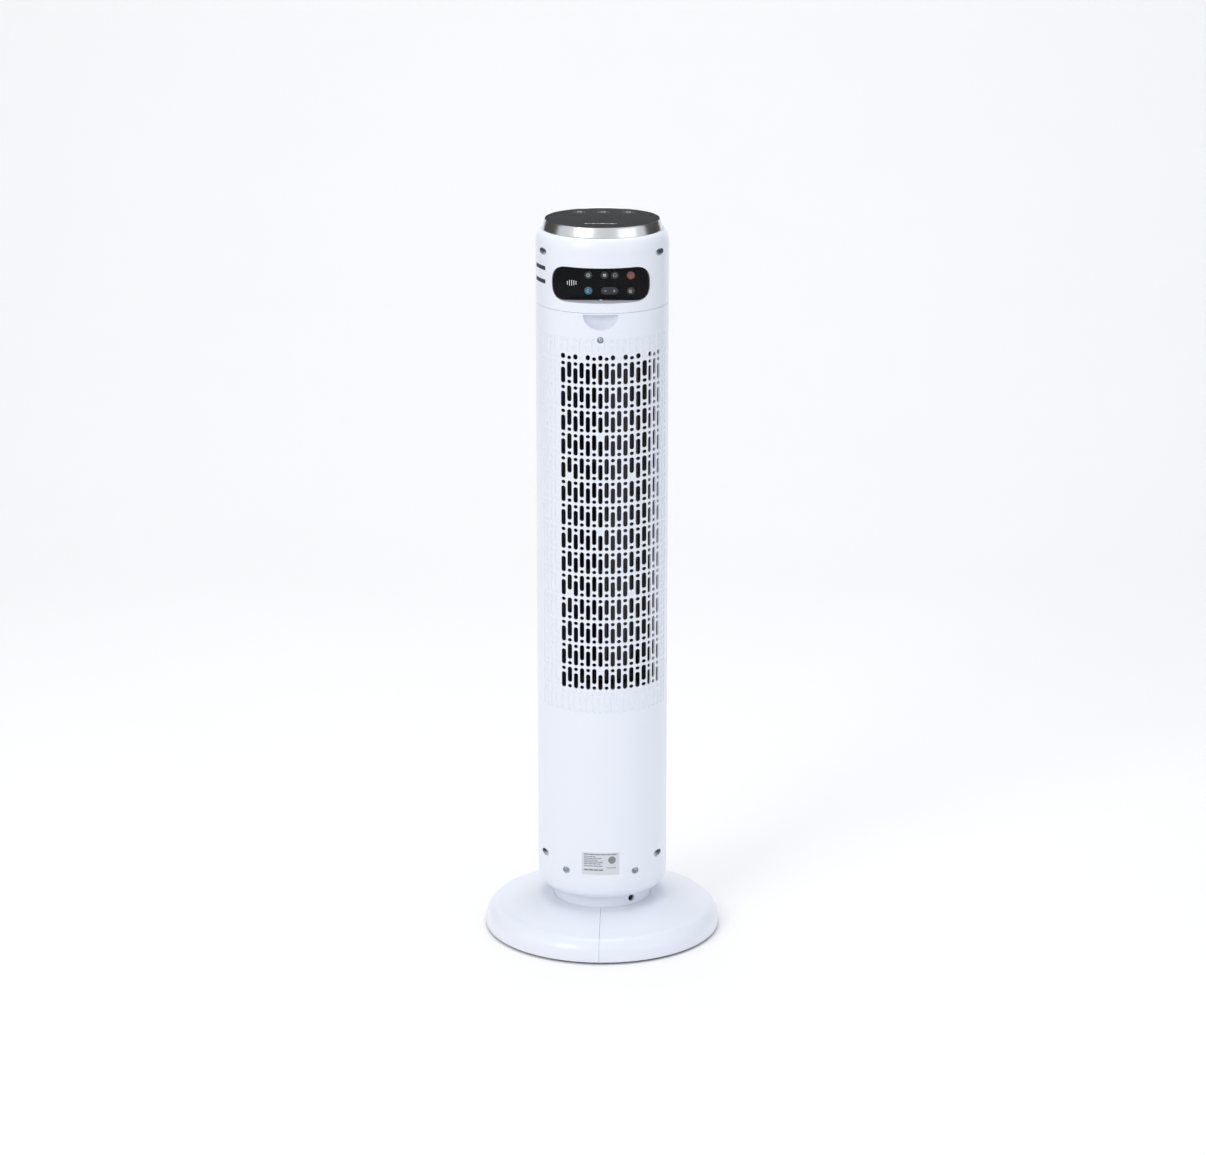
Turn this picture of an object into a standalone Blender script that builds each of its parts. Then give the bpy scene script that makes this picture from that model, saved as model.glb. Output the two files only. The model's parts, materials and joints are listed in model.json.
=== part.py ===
"""Tower fan: a perforated round tower that swivels on a two-piece round base, with a remote control
docked in its head. Metres, +Z up. The air leaves at +Y (front) and enters at -Y (rear). The origin is
on the floor, at the centre of the base.

Rear angles are measured about Z from -Y, positive towards +X.
"""

import math

import bmesh
import bpy
from mathutils import Matrix, Vector

# ---- Driving sizes ----------------------------------------------------------------------------------
TOTAL_HEIGHT = 0.915
BODY_RADIUS = 0.0815
BODY_WALL = 0.0025
BASE_RADIUS = 0.1485
NECK_RADIUS = 0.062
GAP = 0.0003  # between pieces that touch
RUNNING_GAP = 0.0006  # between a piece and one that turns in it
ROUND = 32  # sides of a large circle
SMALL_ROUND = 12  # sides of a screw, post or hole
ROD_PHASE = 0.17  # radians

# ---- Base -------------------------------------------------------------------------------------------
BASE_EDGE_Z = 0.003
BASE_WALL = 0.0025
RIM_WALL_TOP = 0.010
RIM_TOP = 0.033
RIM_SHOULDER = 0.023
DOME_TOP = 0.043
DOME_RISE = 0.003  # how far the top bulges between rim and neck
RIB_COUNT = 6
RIB_THICKNESS = 0.002
RIB_LIFT = 0.002
FOOT_RADIUS = 0.009
FOOT_THICKNESS = 0.0045
FOOT_CIRCLE = 0.122
FOOT_POST_RADIUS = 0.011

# ---- Neck and swivel --------------------------------------------------------------------------------
NECK_WALL = 0.003
NECK_FLANGE_Z = 0.020
NECK_FLANGE_WIDTH = 0.016
NECK_TOP = 0.0625
HUB_RADIUS = 0.016
HUB_BORE = 0.011
HUB_LENGTH = 0.0215
CORD_HOLE_RADIUS = 0.0045
CORD_HOLE_Z = 0.0520
CORD_HOLE_ANGLE = 38.0
WASHER_THICKNESS = 0.0015
WASHER_RADIUS = 0.044
CHASSIS_THICKNESS = 0.003
GEAR_MODULE = 0.0015
SECTOR_TEETH_ROUND = 36  # teeth on the full circle that the sector is cut from
SECTOR_HALF_ANGLE = 62.0
PINION_TEETH = 12
BACKLASH = 0.0003
GEAR_WIDTH = 0.0075
PINION_WIDTH = 0.0095
NUT_WIDTH = 0.007
NUT_RADIUS = 0.0235
OSC_SHAFT_RADIUS = 0.0030
OSC_MOTOR_RADIUS = 0.025
OSC_MOTOR_HEIGHT = 0.020
OSC_EAR_REACH = 0.033
OSC_EAR_THICKNESS = 0.002
OSC_POST_RADIUS = 0.004

# ---- Tower ------------------------------------------------------------------------------------------
BODY_BOTTOM = 0.0585
FOOT_ROUND_HEIGHT = 0.017
LIP_GAP = 0.0025
HEAD_HEIGHT = 0.102  # seam to the top of the control panel
SHOULDER_HEIGHT = 0.019
SHOULDER_WIDTH = 0.008
TRIM_HEIGHT = 0.012
TRIM_TAPER = 0.004
TRIM_LIP = 0.0007
PANEL_THICKNESS = 0.003
PANEL_DROP = 0.0004

# ---- Rear grille ------------------------------------------------------------------------------------
COLUMN_PITCH = 0.0076
COLUMNS_LEFT = 6
COLUMNS_RIGHT = 7
SIDE_COLUMNS = 3
SIDE_LEAD = 6.3  # degrees from the last straight column to the first that faces sideways
SIDE_STEP = 5.85  # degrees between the columns that face sideways
SLOT_WIDTH = 0.0048
SIDE_SLOT_WIDTH = 0.0042
SLOT_OVERCUT = 0.0006
ROW_PERIOD = 0.02975
ROW_GAP = 0.00315
GRILLE_DROP = 0.06125  # seam to the first full row
GRILLE_LOWEST = 0.335
ROWS_PER_SLOT = 4

# ---- Front grille -----------------------------------------------------------------------------------
OUTLET_HALF_WIDTH = 0.052
OUTLET_PITCH = 0.0095
OUTLET_SLOT = 0.0055
OUTLET_BAYS = 4
OUTLET_RIB = 0.004
OUTLET_FRAME = 0.005
OUTLET_FIT = 0.0005

# ---- Air path ---------------------------------------------------------------------------------------
WHEEL_RADIUS = 0.042
BLADE_DEPTH = 0.010
BLADE_THICKNESS = 0.0013
BLADE_LEAN = 32.0
BLADES = 14
WHEEL_BAYS = 3
DISC_THICKNESS = 0.002
DUCT_WALL = 0.0018
DUCT_CLEARANCE = 0.004
WHEEL_HUB_RADIUS = 0.010
SHAFT_RADIUS = 0.004
JOURNAL_RADIUS = 0.003
MOTOR_RADIUS = 0.040
MOTOR_HEIGHT = 0.062
PLATE_THICKNESS = 0.004
PLATE_DROP = 0.012  # wheel's lower disc to the plate below it
BRACKET_RISE = 0.0145  # wheel's upper disc to the plate above it
BUSH_RADIUS = 0.006
BOOT_RADIUS = 0.0105
BRACKET_BOSS_RADIUS = 0.0140
BUSH_LENGTH = 0.012
PLATE_FIT = 0.0006

# ---- Remote control and its dock --------------------------------------------------------------------
REMOTE_LENGTH = 0.116
REMOTE_HEIGHT = 0.041
REMOTE_DEPTH = 0.008
REMOTE_END = 0.019  # length of each rounded end
REMOTE_END_POWER = 2.7
REMOTE_WALL = 0.0012
REMOTE_BACK = 0.0014
REMOTE_END_PROUD = 0.0037
REMOTE_CENTRE_DROP = 0.0685  # top of the fan to the middle of the remote
DOCK_CLEARANCE = 0.0010
DOCK_WALL = 0.002
KEY_RADIUS = 0.005
KEY_PROUD = 0.0007
KEY_TRAVEL = 0.0006
KEY_FIT = 0.0003
KEY_SPREAD = 0.0192  # between the two rows of keys
ROCKER_LENGTH = 0.0215
BOARD_THICKNESS = 0.001
CELL_RADIUS = 0.010
CELL_THICKNESS = 0.0022

# ---- Finger scoop -----------------------------------------------------------------------------------
SCOOP_HALF_WIDTH = 0.022
SCOOP_HEIGHT = 0.019
SCOOP_DEPTH = 0.0175
SCOOP_STAND_OFF = 0.0013  # from the tower's surface out to the scoop's centre
SCOOP_CEILING = 0.0015
SCOOP_WALL = 0.002

# ---- Screws -----------------------------------------------------------------------------------------
SCREW_HEAD_RADIUS = 0.0034
SCREW_HEAD_HEIGHT = 0.0022
SCREW_SHANK_RADIUS = 0.0016
COUNTERBORE_RADIUS = 0.0045
BOSS_RADIUS = 0.0065
BOSS_FLOOR = 0.004
RECEIVER_RADIUS = 0.0055
SIDE_SCREW_ANGLE = 60.0
LOW_SCREW_ANGLE = 32.0
HEAD_SCREW_DROP = 0.034
SIDE_SCREW_Z = 0.1094
LOW_SCREW_Z = 0.0958
GRILLE_SCREW_DROP = 0.033  # seam to the screw above the grille
BASE_SCREW_CIRCLE = 0.0705

# ---- Small parts ------------------------------------------------------------------------------------
LABEL_WIDTH = 0.047
LABEL_HEIGHT = 0.0295
LABEL_Z = 0.109
LABEL_THICKNESS = 0.0004
HARNESS_RADIUS = 0.0022
HARNESS_HOLE = 0.0035
BOARD_SIZE = (0.090, 0.058)
CARRIER_WALL = 0.002
CARRIER_DROP = 0.008  # trim ring's foot to the underside of the tray
CAPACITOR_SIZE = (0.034, 0.018, 0.024)

# ---- Places worked out from the sizes ---------------------------------------------------------------
SEAM_Z = TOTAL_HEIGHT - HEAD_HEIGHT
TRIM_Z = TOTAL_HEIGHT - TRIM_HEIGHT
INNER_RADIUS = BODY_RADIUS - BODY_WALL
LIP_RADIUS = NECK_RADIUS + LIP_GAP
GRILLE_TOP = SEAM_Z - GRILLE_DROP
ROWS = int((GRILLE_TOP - GRILLE_LOWEST) / ROW_PERIOD + 1e-6)
GRILLE_BOTTOM = GRILLE_TOP - ROWS * ROW_PERIOD + ROW_GAP
WHEEL_BOTTOM = GRILLE_BOTTOM
WHEEL_TOP = GRILLE_TOP + ROW_PERIOD / 3
MOTOR_PLATE_Z = WHEEL_BOTTOM - PLATE_DROP - PLATE_THICKNESS
BRACKET_Z = WHEEL_TOP + BRACKET_RISE
CHASSIS_Z = NECK_TOP + WASHER_THICKNESS + 2 * GAP
CHASSIS_TOP = CHASSIS_Z + CHASSIS_THICKNESS
GEAR_Z = CHASSIS_TOP + RUNNING_GAP
PINION_PITCH_RADIUS = PINION_TEETH * GEAR_MODULE / 2
SECTOR_PITCH_RADIUS = SECTOR_TEETH_ROUND * GEAR_MODULE / 2
PINION_Y = PINION_PITCH_RADIUS + SECTOR_PITCH_RADIUS
OSC_MOTOR_Z = NECK_TOP + HUB_LENGTH + 0.006
REMOTE_FACE_Y = -math.sqrt(BODY_RADIUS**2 - (REMOTE_LENGTH / 2) ** 2) - REMOTE_END_PROUD
REMOTE_BACK_Y = REMOTE_FACE_Y + REMOTE_DEPTH
REMOTE_Z = TOTAL_HEIGHT - REMOTE_CENTRE_DROP
DOCK_BACK_Y = REMOTE_BACK_Y + DOCK_CLEARANCE / 2
HEAD_SCREW_Z = TOTAL_HEIGHT - HEAD_SCREW_DROP
GRILLE_SCREW_Z = SEAM_Z - GRILLE_SCREW_DROP
PANEL_RADIUS = BODY_RADIUS - SHOULDER_WIDTH - TRIM_TAPER - TRIM_LIP - GAP
PANEL_TOP = TOTAL_HEIGHT - PANEL_DROP
HARNESS_SPOT = (0.058, 0.030)
HARNESS_LOW = CHASSIS_TOP + 0.140
HARNESS_HIGH = SEAM_Z + 0.020


# ---- Meshes -----------------------------------------------------------------------------------------
def lathe(outline, steps=ROUND):
    """A solid turned about Z from a closed outline of (radius, height) points."""
    mesh = bmesh.new()
    points = [mesh.verts.new((radius, 0.0, height)) for radius, height in outline]
    edges = [mesh.edges.new(pair) for pair in zip(points, points[1:] + points[:1])]
    bmesh.ops.spin(
        mesh, geom=points + edges, cent=(0, 0, 0), axis=(0, 0, 1), angle=math.tau, steps=steps, use_merge=True
    )
    bmesh.ops.remove_doubles(mesh, verts=mesh.verts, dist=1e-6)
    on_axis = [e for e in mesh.edges if not e.link_faces]
    bmesh.ops.delete(mesh, geom=on_axis, context="EDGES")
    bmesh.ops.recalc_face_normals(mesh, faces=mesh.faces)
    return mesh


def prism(outline, low, high):
    """A solid with a closed (x, y) outline, from one height to another."""
    mesh = bmesh.new()
    face = mesh.faces.new([mesh.verts.new((x, y, low)) for x, y in outline])
    grown = bmesh.ops.extrude_face_region(mesh, geom=[face])["geom"]
    moved = [item for item in grown if isinstance(item, bmesh.types.BMVert)]
    bmesh.ops.translate(mesh, verts=moved, vec=(0, 0, high - low))
    bmesh.ops.recalc_face_normals(mesh, faces=mesh.faces)
    return mesh


def upright_prism(outline, near, far):
    """A solid with a closed (x, z) outline, from y = near to y = far."""
    mesh = prism(outline, near, far)
    for vert in mesh.verts:
        x, z, y = vert.co
        vert.co = (x, y, z)
    bmesh.ops.recalc_face_normals(mesh, faces=mesh.faces)
    return mesh


def rod(radius, start, end, steps=SMALL_ROUND):
    """A cylinder between two points, its facets turned a little so that none lies in line with a shell's."""
    start, end = Vector(start), Vector(end)
    along = end - start
    turn = along.to_track_quat("Z", "Y").to_matrix().to_4x4() @ Matrix.Rotation(ROD_PHASE, 4, "Z")
    mesh = bmesh.new()
    bmesh.ops.create_cone(
        mesh,
        cap_ends=True,
        segments=steps,
        radius1=radius,
        radius2=radius,
        depth=along.length,
        matrix=Matrix.Translation((start + end) / 2) @ turn,
    )
    return mesh


def block(low, high):
    """A box between two corners."""
    low, high = Vector(low), Vector(high)
    mesh = bmesh.new()
    size = Matrix.Diagonal((*(high - low), 1))
    bmesh.ops.create_cube(mesh, size=1, matrix=Matrix.Translation((low + high) / 2) @ size)
    return mesh


def turned(mesh, degrees):
    """The mesh turned about Z to a rear angle."""
    turn = Matrix.Rotation(math.radians(degrees), 3, "Z")
    bmesh.ops.rotate(mesh, verts=mesh.verts, cent=(0, 0, 0), matrix=turn)
    return mesh


def gathered(meshes):
    """Several separate closed meshes as one."""
    whole = bmesh.new()
    for mesh in meshes:
        carrier = bpy.data.meshes.new("carrier")
        mesh.to_mesh(carrier)
        mesh.free()
        whole.from_mesh(carrier)
        bpy.data.meshes.remove(carrier)
    return whole


def solid(mesh, name="tool"):
    """An object in the scene that holds this mesh."""
    data = bpy.data.meshes.new(name)
    mesh.to_mesh(data)
    mesh.free()
    made = bpy.data.objects.new(name, data)
    bpy.context.scene.collection.objects.link(made)
    return made


def combined(target, mesh, operation):
    """The target after a Boolean with a mesh, which is used up."""
    tool = solid(mesh)
    modifier = target.modifiers.new(operation.lower(), "BOOLEAN")
    modifier.operation = operation
    modifier.solver = "EXACT"
    modifier.object = tool
    bpy.context.view_layer.update()
    graph = bpy.context.evaluated_depsgraph_get()
    result = bpy.data.meshes.new_from_object(target.evaluated_get(graph))
    target.modifiers.clear()
    target.data = result
    bpy.data.objects.remove(tool)
    return target


def joined(target, mesh):
    return combined(target, mesh, "UNION")


def cut(target, mesh):
    return combined(target, mesh, "DIFFERENCE")


def within(target, mesh):
    return combined(target, mesh, "INTERSECT")


def mesh_of(made):
    """The mesh of a helper object, which is removed."""
    mesh = bmesh.new()
    mesh.from_mesh(made.data)
    bpy.data.objects.remove(made)
    return mesh


# ---- Outlines ---------------------------------------------------------------------------------------
def arc(centre, radii, start, end, steps):
    """Points on an ellipse between two angles in degrees, both ends included."""
    angles = [math.radians(start + (end - start) * i / steps) for i in range(steps + 1)]
    return [(centre[0] + radii[0] * math.cos(a), centre[1] + radii[1] * math.sin(a)) for a in angles]


def offset_curve(points, distance):
    """An open curve moved sideways: to its right, seen along it, when the distance is positive."""
    moved = []
    for i, (x, y) in enumerate(points):
        before, after = points[max(i - 1, 0)], points[min(i + 1, len(points) - 1)]
        along = Vector((after[0] - before[0], after[1] - before[1])).normalized()
        moved.append((x + along.y * distance, y - along.x * distance))
    return moved


def skin_outline(outer, wall):
    """A closed outline between an outer curve, which has its solid on the right, and its inner wall."""
    return outer + offset_curve(outer, wall)[::-1]


def core_outline(outer, inset):
    """A closed outline from the axis to a curve set in from the outer one."""
    inner = offset_curve(outer, inset)
    return [(0.0, inner[0][1]), *inner, (0.0, inner[-1][1])]


def rear_point(radius, degrees):
    """The (x, y) at a radius and a rear angle."""
    return radius * math.sin(math.radians(degrees)), -radius * math.cos(math.radians(degrees))


def remote_outline(grow=0.0):
    """The remote's (x, z) outline with superellipse ends, larger all round by grow."""
    half_height = REMOTE_HEIGHT / 2 + grow
    straight = REMOTE_LENGTH / 2 - REMOTE_END
    reach = REMOTE_END + grow
    points = []
    for side, first in ((1, -90), (-1, 90)):
        for step in range(9):
            angle = math.radians(first + 180 * step / 8)
            along, across = abs(math.cos(angle)), math.sin(angle)
            x = side * (straight + reach * along ** (2 / REMOTE_END_POWER))
            z = math.copysign(abs(across) ** (2 / REMOTE_END_POWER), across) * half_height
            points.append((x, REMOTE_Z + z))
    return points


def involute(angle):
    return math.tan(angle) - angle


def tooth_half_angle(radius, teeth):
    """Half the angle that a tooth spans at a radius, for 20 degree teeth."""
    pitch_radius = teeth * GEAR_MODULE / 2
    base_radius = pitch_radius * math.cos(math.radians(20))
    pressure = math.acos(min(1.0, base_radius / radius))
    at_pitch = (math.pi * GEAR_MODULE / 2 - BACKLASH) / 2 / pitch_radius
    return at_pitch + involute(math.radians(20)) - involute(pressure)


def tooth(teeth, centre_angle):
    """One tooth's points, anticlockwise, with its middle at an angle in radians from +X."""
    pitch_radius = teeth * GEAR_MODULE / 2
    levels = [pitch_radius - 1.25 * GEAR_MODULE, pitch_radius, pitch_radius + 0.85 * GEAR_MODULE]
    spread = [tooth_half_angle(level, teeth) for level in levels]
    rising = [(level, centre_angle - half) for level, half in zip(levels, spread)]
    falling = [(level, centre_angle + half) for level, half in zip(levels, spread)][::-1]
    return [(r * math.cos(a), r * math.sin(a)) for r, a in rising + falling]


# ---- Materials and placing --------------------------------------------------------------------------
FINISHES = {
    "white_shell": ((0.86, 0.87, 0.90), 0.38, 0.0),
    "bright_trim": ((0.62, 0.62, 0.60), 0.18, 1.0),
    "black_gloss": ((0.012, 0.012, 0.014), 0.12, 0.0),
    "black_satin": ((0.010, 0.010, 0.010), 0.35, 0.0),
    "key_grey": ((0.075, 0.075, 0.072), 0.45, 0.0),
    "key_blue": ((0.045, 0.14, 0.21), 0.45, 0.0),
    "key_red": ((0.20, 0.07, 0.05), 0.45, 0.0),
    "rubber": ((0.02, 0.02, 0.02), 0.8, 0.0),
    "steel": ((0.5, 0.5, 0.5), 0.35, 1.0),
    "motor_case": ((0.42, 0.43, 0.44), 0.4, 0.9),
    "grey_plastic": ((0.10, 0.10, 0.105), 0.5, 0.0),
    "gear_plastic": ((0.75, 0.74, 0.70), 0.45, 0.0),
    "circuit_board": ((0.03, 0.16, 0.07), 0.5, 0.0),
    "bronze": ((0.55, 0.38, 0.16), 0.4, 0.9),
    "label": ((0.72, 0.73, 0.75), 0.4, 0.2),
}


def material_named(name):
    """The finish's Principled material, made once."""
    if name in bpy.data.materials:
        return bpy.data.materials[name]
    colour, roughness, metallic = FINISHES[name]
    made = bpy.data.materials.new(name)
    made.use_nodes = True
    shader = made.node_tree.nodes["Principled BSDF"]
    shader.inputs["Base Color"].default_value = (*colour, 1.0)
    shader.inputs["Roughness"].default_value = roughness
    shader.inputs["Metallic"].default_value = metallic
    return made


def pivot(name, place, parent=None):
    """An empty on a joint's axis."""
    empty = bpy.data.objects.new(name, None)
    bpy.context.scene.collection.objects.link(empty)
    empty.location = place
    empty.parent = parent
    if parent:
        bpy.context.view_layer.update()
        empty.matrix_parent_inverse = parent.matrix_world.inverted()
    bpy.context.view_layer.update()
    return empty


def piece(name, made, finish, parent, origin=None):
    """Names a finished solid, dresses it, and hangs it on its body with its origin on the joint's axis."""
    if isinstance(made, bmesh.types.BMesh):
        made = solid(made)
    place = Vector(origin) if origin is not None else parent.matrix_world.translation.copy()
    made.name = name
    made.data.name = name
    made.data.materials.clear()
    made.data.materials.append(material_named(finish))
    made.data.transform(Matrix.Translation(-place))
    made.location = place
    made.parent = parent
    made.matrix_parent_inverse = parent.matrix_world.inverted()
    made.data.shade_smooth()
    made.data.set_sharp_from_angle(angle=math.radians(32))
    return made


def screw(name, seat, tip, parent, steps=8):
    """A pan-head screw whose head rests on the seat point and whose shank reaches the tip."""
    seat, tip = Vector(seat), Vector(tip)
    along = (tip - seat).normalized()
    made = solid(rod(SCREW_HEAD_RADIUS, seat - along * SCREW_HEAD_HEIGHT, seat, steps))
    joined(made, rod(SCREW_SHANK_RADIUS, seat - along * SCREW_HEAD_HEIGHT / 2, tip, steps))
    return piece(name, made, "steel", parent)


# ---- Base -------------------------------------------------------------------------------------------
def dome_curve():
    """The base's outer (radius, height) curve, from the neck over the rim down to its lower edge."""
    inner = NECK_RADIUS + GAP
    shoulder = BASE_RADIUS - RIM_SHOULDER
    top = []
    for step in range(4):
        share = step / 4
        height = DOME_TOP + (RIM_TOP - DOME_TOP) * share + DOME_RISE * 4 * share * (1 - share)
        top.append((inner + (shoulder - inner) * share, height))
    rim = arc((shoulder, RIM_WALL_TOP), (RIM_SHOULDER, RIM_TOP - RIM_WALL_TOP), 90, 0, 4)
    return [*top, *rim, (BASE_RADIUS, BASE_EDGE_Z)]


def quarter_angles(first=45.0):
    return [first + 90 * i for i in range(4)]


def base_halves(body):
    """Two moulded half discs that close round the neck, with ribs, foot posts and screw bosses."""
    curve = dome_curve()
    features = []
    rib_low, rib_high = BASE_EDGE_Z + RIB_LIFT, DOME_TOP + BASE_WALL
    inner = NECK_RADIUS + NECK_FLANGE_WIDTH + 4 * GAP
    for i in range(RIB_COUNT):
        rib = block((-RIB_THICKNESS / 2, -BASE_RADIUS, rib_low), (RIB_THICKNESS / 2, -inner, rib_high))
        features.append(turned(rib, (i + 0.5) * 360 / RIB_COUNT))
    boss_low = NECK_FLANGE_Z + NECK_WALL + GAP
    for angle in quarter_angles():
        x, y = rear_point(FOOT_CIRCLE, angle)
        features.append(rod(FOOT_POST_RADIUS, (x, y, FOOT_THICKNESS + GAP), (x, y, rib_high)))
        x, y = rear_point(BASE_SCREW_CIRCLE, angle)
        features.append(rod(BOSS_RADIUS * 0.7, (x, y, boss_low), (x, y, rib_high)))
    inside = solid(gathered(features))
    within(inside, lathe(core_outline(curve, BASE_WALL / 2)))
    outline = skin_outline(curve, BASE_WALL)
    outline[-1] = (curve[0][0], outline[-1][1])
    whole = joined(solid(lathe(outline)), mesh_of(inside))
    bores = []
    for angle in quarter_angles():
        x, y = rear_point(BASE_SCREW_CIRCLE, angle)
        bores.append(rod(SCREW_SHANK_RADIUS + GAP, (x, y, 0), (x, y, boss_low + BOSS_FLOOR)))
    cut(whole, gathered(bores))
    reach = BASE_RADIUS + 0.01
    for name, side in (("base_half_left", -1), ("base_half_right", 1)):
        half = whole.copy()
        half.data = whole.data.copy()
        bpy.context.scene.collection.objects.link(half)
        edges = sorted((side * GAP / 2, side * reach))
        within(half, block((edges[0], -reach, -0.01), (edges[1], reach, DOME_TOP + 0.01)))
        piece(name, half, "white_shell", body)
    bpy.data.objects.remove(whole)
    for number, angle in enumerate(quarter_angles(), 1):
        x, y = rear_point(FOOT_CIRCLE, angle)
        piece(f"foot_{number}", rod(FOOT_RADIUS, (x, y, 0), (x, y, FOOT_THICKNESS), 16), "rubber", body)


def neck(body):
    """The fixed neck, a drum with the cord hole that the base closes round, and the hub plate on top of it."""
    inner = NECK_RADIUS - NECK_WALL
    flange = NECK_RADIUS + NECK_FLANGE_WIDTH
    under = NECK_TOP - NECK_WALL
    outline = [
        (inner, under - GAP),
        (inner, NECK_FLANGE_Z),
        (flange, NECK_FLANGE_Z),
        (flange, NECK_FLANGE_Z + NECK_WALL),
        (NECK_RADIUS, NECK_FLANGE_Z + NECK_WALL),
        (NECK_RADIUS, under - GAP),
    ]
    hub = [
        (HUB_BORE, under),
        (NECK_RADIUS, under),
        (NECK_RADIUS, NECK_TOP),
        (HUB_RADIUS, NECK_TOP),
        (HUB_RADIUS, NECK_TOP + HUB_LENGTH),
        (HUB_BORE, NECK_TOP + HUB_LENGTH),
    ]
    piece("hub_plate", lathe(hub), "white_shell", body)
    collar = solid(lathe(outline))
    far, near = rear_point(NECK_RADIUS + 0.01, CORD_HOLE_ANGLE), rear_point(inner - 0.01, CORD_HOLE_ANGLE)
    holes = [rod(CORD_HOLE_RADIUS, (*far, CORD_HOLE_Z), (*near, CORD_HOLE_Z), 16)]
    flange_top = NECK_FLANGE_Z + NECK_WALL
    for number, angle in enumerate(quarter_angles(), 1):
        x, y = rear_point(BASE_SCREW_CIRCLE, angle)
        holes.append(rod(SCREW_SHANK_RADIUS + GAP, (x, y, 0), (x, y, flange_top + 0.01)))
        tip = flange_top + GAP + BOSS_FLOOR * 0.8
        screw(f"base_screw_{number}", (x, y, NECK_FLANGE_Z - GAP), (x, y, tip), body)
    cut(collar, gathered(holes))
    piece("neck_collar", collar, "white_shell", body)


def swivel(base, tower):
    """What the tower turns on: washer, fixed gear sector, hub nut, and the chassis above them."""
    low = NECK_TOP + GAP
    ring = [(HUB_RADIUS + RUNNING_GAP, low), (WASHER_RADIUS, low)]
    ring += [(WASHER_RADIUS, low + WASHER_THICKNESS), (HUB_RADIUS + RUNNING_GAP, low + WASHER_THICKNESS)]
    piece("swivel_washer", lathe(ring, 32), "gear_plastic", base)

    sector = solid(prism(sector_points(), GEAR_Z, GEAR_Z + GEAR_WIDTH))
    cut(sector, rod(HUB_RADIUS + GAP, (0, 0, GEAR_Z - 0.01), (0, 0, GEAR_Z + GEAR_WIDTH + 0.01), ROUND))
    piece("sector_gear", sector, "gear_plastic", base)

    nut_z = GEAR_Z + GEAR_WIDTH + GAP
    nut = solid(rod(NUT_RADIUS, (0, 0, nut_z), (0, 0, nut_z + NUT_WIDTH), 8))
    cut(nut, rod(HUB_RADIUS + GAP, (0, 0, nut_z - 0.01), (0, 0, nut_z + NUT_WIDTH + 0.01), ROUND))
    piece("hub_nut", nut, "gear_plastic", base)
    chassis(tower)


def sector_points():
    """The fixed gear's outline: teeth over the front arc and a plain round back."""
    step = math.tau / SECTOR_TEETH_ROUND
    count = int(math.radians(SECTOR_HALF_ANGLE) / step)
    points = []
    for i in range(-count, count):
        points += tooth(SECTOR_TEETH_ROUND, math.pi / 2 + (i + 0.5) * step)
    plain = SECTOR_PITCH_RADIUS - 1.25 * GEAR_MODULE
    end = 90 + math.degrees(count * step)
    return points + arc((0, 0), (plain, plain), end, 360 + 180 - end, 16)


def head_radius_at(height):
    """The head's outer radius over its shoulder."""
    rise = min(1.0, max(0.0, (height - TRIM_Z + SHOULDER_HEIGHT) / SHOULDER_HEIGHT))
    return BODY_RADIUS - SHOULDER_WIDTH * (1 - math.sqrt(1 - rise * rise))


def body_radius_at(height):
    """The tower's outer radius near its rounded foot."""
    centre = BODY_BOTTOM + FOOT_ROUND_HEIGHT
    fall = min(1.0, max(0.0, (centre - height) / FOOT_ROUND_HEIGHT))
    return LIP_RADIUS + (BODY_RADIUS - LIP_RADIUS) * math.sqrt(1 - fall * fall)


def chassis(body):
    """The tower's floor: it rides on the washer and carries the swing motor, capacitor and screw posts."""
    radius = body_radius_at(CHASSIS_Z) - 1.6 * BODY_WALL - PLATE_FIT
    hole = HUB_RADIUS + RUNNING_GAP
    plate = solid(lathe([(hole, CHASSIS_Z), (radius, CHASSIS_Z), (radius, CHASSIS_TOP), (hole, CHASSIS_TOP)]))
    posts = []
    for side in (-1, 1):
        x = side * OSC_EAR_REACH * 0.88
        posts.append(rod(OSC_POST_RADIUS, (x, PINION_Y, CHASSIS_Z + GAP), (x, PINION_Y, OSC_MOTOR_Z - GAP)))
        site = low_screw_site(side)
        front = site["floor"] + GAP
        low = (site["x"] - 0.006, front, CHASSIS_Z + GAP)
        high = (site["x"] + 0.006, front + 0.010, site["z"] + 0.006)
        posts.append(block(low, high))
    upright = within(solid(gathered(posts)), lathe(core_outline(body_curve()[::-1], BODY_WALL + PLATE_FIT)))
    joined(plate, mesh_of(upright))
    bores = []
    for side in (-1, 1):
        site = low_screw_site(side)
        start, end = (site["x"], site["floor"], site["z"]), (site["x"], 0, site["z"])
        bores.append(rod(SCREW_SHANK_RADIUS + GAP, start, end, 8))
    cut(plate, gathered(bores))
    piece("lower_chassis", plate, "grey_plastic", body)

    width, depth, height = CAPACITOR_SIZE
    middle = -(SECTOR_PITCH_RADIUS + 2 * GEAR_MODULE + depth / 2)
    low = (-width / 2, middle - depth / 2, CHASSIS_TOP + GAP)
    piece("run_capacitor", block(low, (width / 2, middle + depth / 2, low[2] + height)), "grey_plastic", body)


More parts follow.
